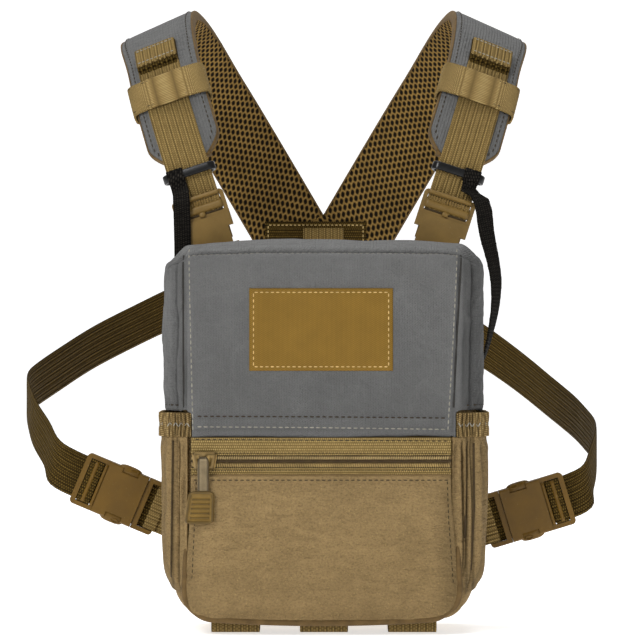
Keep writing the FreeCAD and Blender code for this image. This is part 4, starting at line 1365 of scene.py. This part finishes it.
def build_zipper():
    build_tape("upper", -15.2, -4.6, 9, (("stitch_dark", ((-72, -5.6), (69, -6.6))),
                                         ("edge_dark", ((-72, -13.2), (69, -13.2)), 1.9, 1.1, 0.25)))
    build_tape("lower", -25.6, -20.9, 5, (("stitch_lower", ((-73, -22.8), (70, -22.8)), 1.7, 1.0, 0.25),))
    steps = TOOTH_PITCH * np.arange(int(144 / TOOTH_PITCH))
    for name, level, long, look, first, lean in (("upper", -15.9, 2.0, "coil_painted_light", -73.6, 0.25),
                                                 ("lower", -20.0, 2.4, "coil", -73.0, -0.25)):
        spots = bent(grid_of(first + steps, -86.0, level))
        count = len(spots)
        leans = [(lean, 0, 1.0)] * count
        teeth = beads("zip_teeth_" + name, spots, leans, [TO_FRONT] * count, long, 0.48, 1.6)
        finish(teeth, look, "pack", ["zipper_coil_" + name])
    # Dark lines of painted shadow: between the two coil rows, beside the upper coil and below the lower coil.
    for name, level, wide in (("core", -17.7, 0.75), ("shade", -14.7, 0.3), ("edge", -21.3, 0.35)):
        line = line_between((-74.4, ZIP_FACE, level), (71, ZIP_FACE, level), 60)
        finish(tube("zip_" + name, bent(line), wide, 0.45), "painted_shadow_brown", "pack")


def grip_plate(name, outline, depth, rear, relief, rows, cols):
    """A moulded plate: outline(t) gives middle, half width and level, relief the height of its face."""
    t = np.linspace(0, 1, rows)[:, None]
    share = np.sin(np.linspace(-math.pi / 2, math.pi / 2, cols))[None]
    middle, half, z = outline(t)
    round_end = np.sqrt(np.clip(1 - np.abs(2 * t - 1) ** 14, 0.3, 1))
    x = middle + half * round_end * share
    z = z + 0 * share
    edge = np.minimum(half * (1 - np.abs(share)), abs(z[-1, 0] - z[0, 0]) * (0.5 - np.abs(t - 0.5)))
    return plate(name, grid_of(x, -depth - relief(x, z, edge), z), grid_of(x, -rear, z), grid_of(x, z, 0.0))


def build_pull():
    """The zipper's slider, the link that hangs from it and the ridged grip."""
    def cast(x, z, edge):
        bridge = smooth(2.6 - np.abs(x + 67.2), 0, 0.8) * smooth(3.2 - np.abs(z + 17.2), 0, 0.8)
        return 1.5 * smooth(edge, 0, 1.6) + 1.0 * bridge - 0.5 * smooth(edge, 2.6, 3.4) * (1 - bridge)

    def bar(x, z, edge):
        return 0.9 * smooth(edge, 0, 0.5) - 0.6 * smooth(edge, 1.0, 1.5)

    def ridged(x, z, edge):
        rim = smooth(edge, 0.0, 0.6) - smooth(edge, 1.5, 2.0)
        ribs = sum(ridge(z + 38.8 + 2.55 * k, 0.66) for k in range(5))
        return 0.2 + 0.4 * smooth(edge, 0, 0.5) + 1.1 * rim + 1.2 * ribs * smooth(edge, 2.2, 2.8)

    slider = grip_plate("slider_cast", lambda t: (-66.4 + 0 * t, 7.4 - 1.8 * t, -12.4 - 10.4 * t),
                        87.4, 86.6, cast, 22, 31)
    finish(slider, "metal", "zip_slider", ["zipper_slider"])
    link = grip_plate("pull_link_bar", lambda t: (-67.0 + 0 * t, 3.2 + 0 * t, -15.2 - 22.0 * t),
                      91.3, 90.9, bar, 30, 17)
    finish(link, "link", "zip_pull", ["zipper_pull_link"])
    grip = grip_plate("pull_grip_moulded", lambda t: (-67.8 - 1.5 * t, 7.1 + 1.2 * t, -34.0 - 18.6 * t),
                      91.7, 90.6, ridged, 60, 33)
    finish(grip, "rubber", "zip_pull", ["zipper_pull_grip"])
    for piece, depth in ((slider, 0.4), (link, 0.3), (grip, 0.28)):
        paint_shading(piece, depth, None, 6)


def build_label(lid):
    """The plain label: a sheet laid on the lid with a stitched border."""
    left, right, top, low = -41.6, 38.4, 78.5, 32.5
    gx, gz = np.meshgrid(np.linspace(left, right, 81), np.linspace(top, low, 47))
    spots, _ = dropped(surface_of(lid), grid_of(gx, -84.0, gz).reshape(-1, 3), INWARD)
    base = spots[:, 1].reshape(gx.shape)
    for _ in range(6):
        inner = (base[:-2, 1:-1] + base[2:, 1:-1] + base[1:-1, :-2] + base[1:-1, 2:]) / 4
        base[1:-1, 1:-1] = np.minimum(inner, base[1:-1, 1:-1] + 0.05)
    edge = np.minimum(np.minimum(gx - left, right - gx), np.minimum(top - gz, gz - low))
    y = base - 0.35 - 0.6 * smooth(edge, 0, 0.8) + 0.3 * ridge(edge - 2.3, 0.6)
    grids = (grid_of(gx, y, gz), grid_of(gx, base + 0.5, gz), grid_of(gx, 0.0, gz))
    patch = plate("label_blank", *(grid[::-1] for grid in grids))
    finish(patch, "label", "lid", ["label_patch"])
    corners = [(-39.2, -85, 76.2), (36.0, -85, 76.2), (36.0, -85, 34.8), (-39.2, -85, 34.8)]
    corners.append(corners[0])
    stitched_outline("label_border", surface_of(patch), corners, 20, INWARD, "lid", 3.0, 1.9, 0.32)


def build_stage():
    """A pale floor that curves up into a wall, in metres."""
    depth, floor, bend, half, wall = 7.0, -0.1148, 1.5, 6.0, 4.0
    profile = [(-half, floor), (depth - bend, floor)]
    for k in range(1, 13):
        a = k / 12 * math.pi / 2
        profile.append((depth - bend + bend * math.sin(a), floor + bend - bend * math.cos(a)))
    profile.append((depth, wall))
    points = [(x, y, z) for x in (-half, half) for y, z in profile]
    n = len(profile)
    mesh = bpy.data.meshes.new("studio_sweep")
    mesh.from_pydata(points, [], [(k, k + 1, n + k + 1, n + k) for k in range(n - 1)])
    smooth_faces(mesh)
    look = bpy.data.materials.new("studio_white")
    look.use_nodes = True
    inputs = look.node_tree.nodes["Principled BSDF"].inputs
    inputs["Base Color"].default_value = (0.95, 0.95, 0.95, 1)
    inputs["Roughness"].default_value = 1.0
    inputs["Specular IOR Level"].default_value = 0.0
    inputs["Emission Color"].default_value = (1, 1, 1, 1)
    inputs["Emission Strength"].default_value = 0.62
    mesh.materials.append(look)
    linked("studio_sweep", mesh)


def light(name, place, aim, size, power):
    data = bpy.data.lights.new(name, "AREA")
    data.shape = "SQUARE"
    data.size = size
    data.energy = power
    obj = linked(name, data)
    obj.location = place
    obj.rotation_mode = "QUATERNION"
    obj.rotation_quaternion = (Vector(aim) - Vector(place)).to_track_quat("-Z", "Y")


def build_light_and_camera():
    scene = bpy.context.scene
    scene.world = bpy.data.worlds.new("studio")
    scene.world.use_nodes = True
    background = scene.world.node_tree.nodes["Background"]
    background.inputs[0].default_value = (1, 1, 1, 1)
    background.inputs[1].default_value = 0.25
    light("key", (-1.1, -1.7, 1.5), (0, 0, 0.05), 0.6, 27)
    light("fill", (0.9, -2.2, 0.3), (0, 0, 0.05), 0.9, 5)
    light("top", (0.0, 0.6, 2.2), (0, 0.6, 0.0), 1.6, 34)
    data = bpy.data.cameras.new("camera")
    data.sensor_width = 36
    data.lens = 202.5
    camera = linked("camera", data)
    camera.location = (-0.0022, -2.088, 0.0608)
    camera.rotation_euler = (math.pi / 2, 0, 0)
    scene.camera = camera
    scene.view_settings.view_transform = "Standard"
    scene.view_settings.look = "None"


lid_piece, pocket_piece = build_body()
build_seams(lid_piece, pocket_piece)
build_label(lid_piece)
build_zipper()
build_pull()
build_pads()
build_keepers()
build_shoulder_webbing()
build_side_straps()
build_yoke()
build_tethers()
build_buckles()
build_stage()
build_light_and_camera()
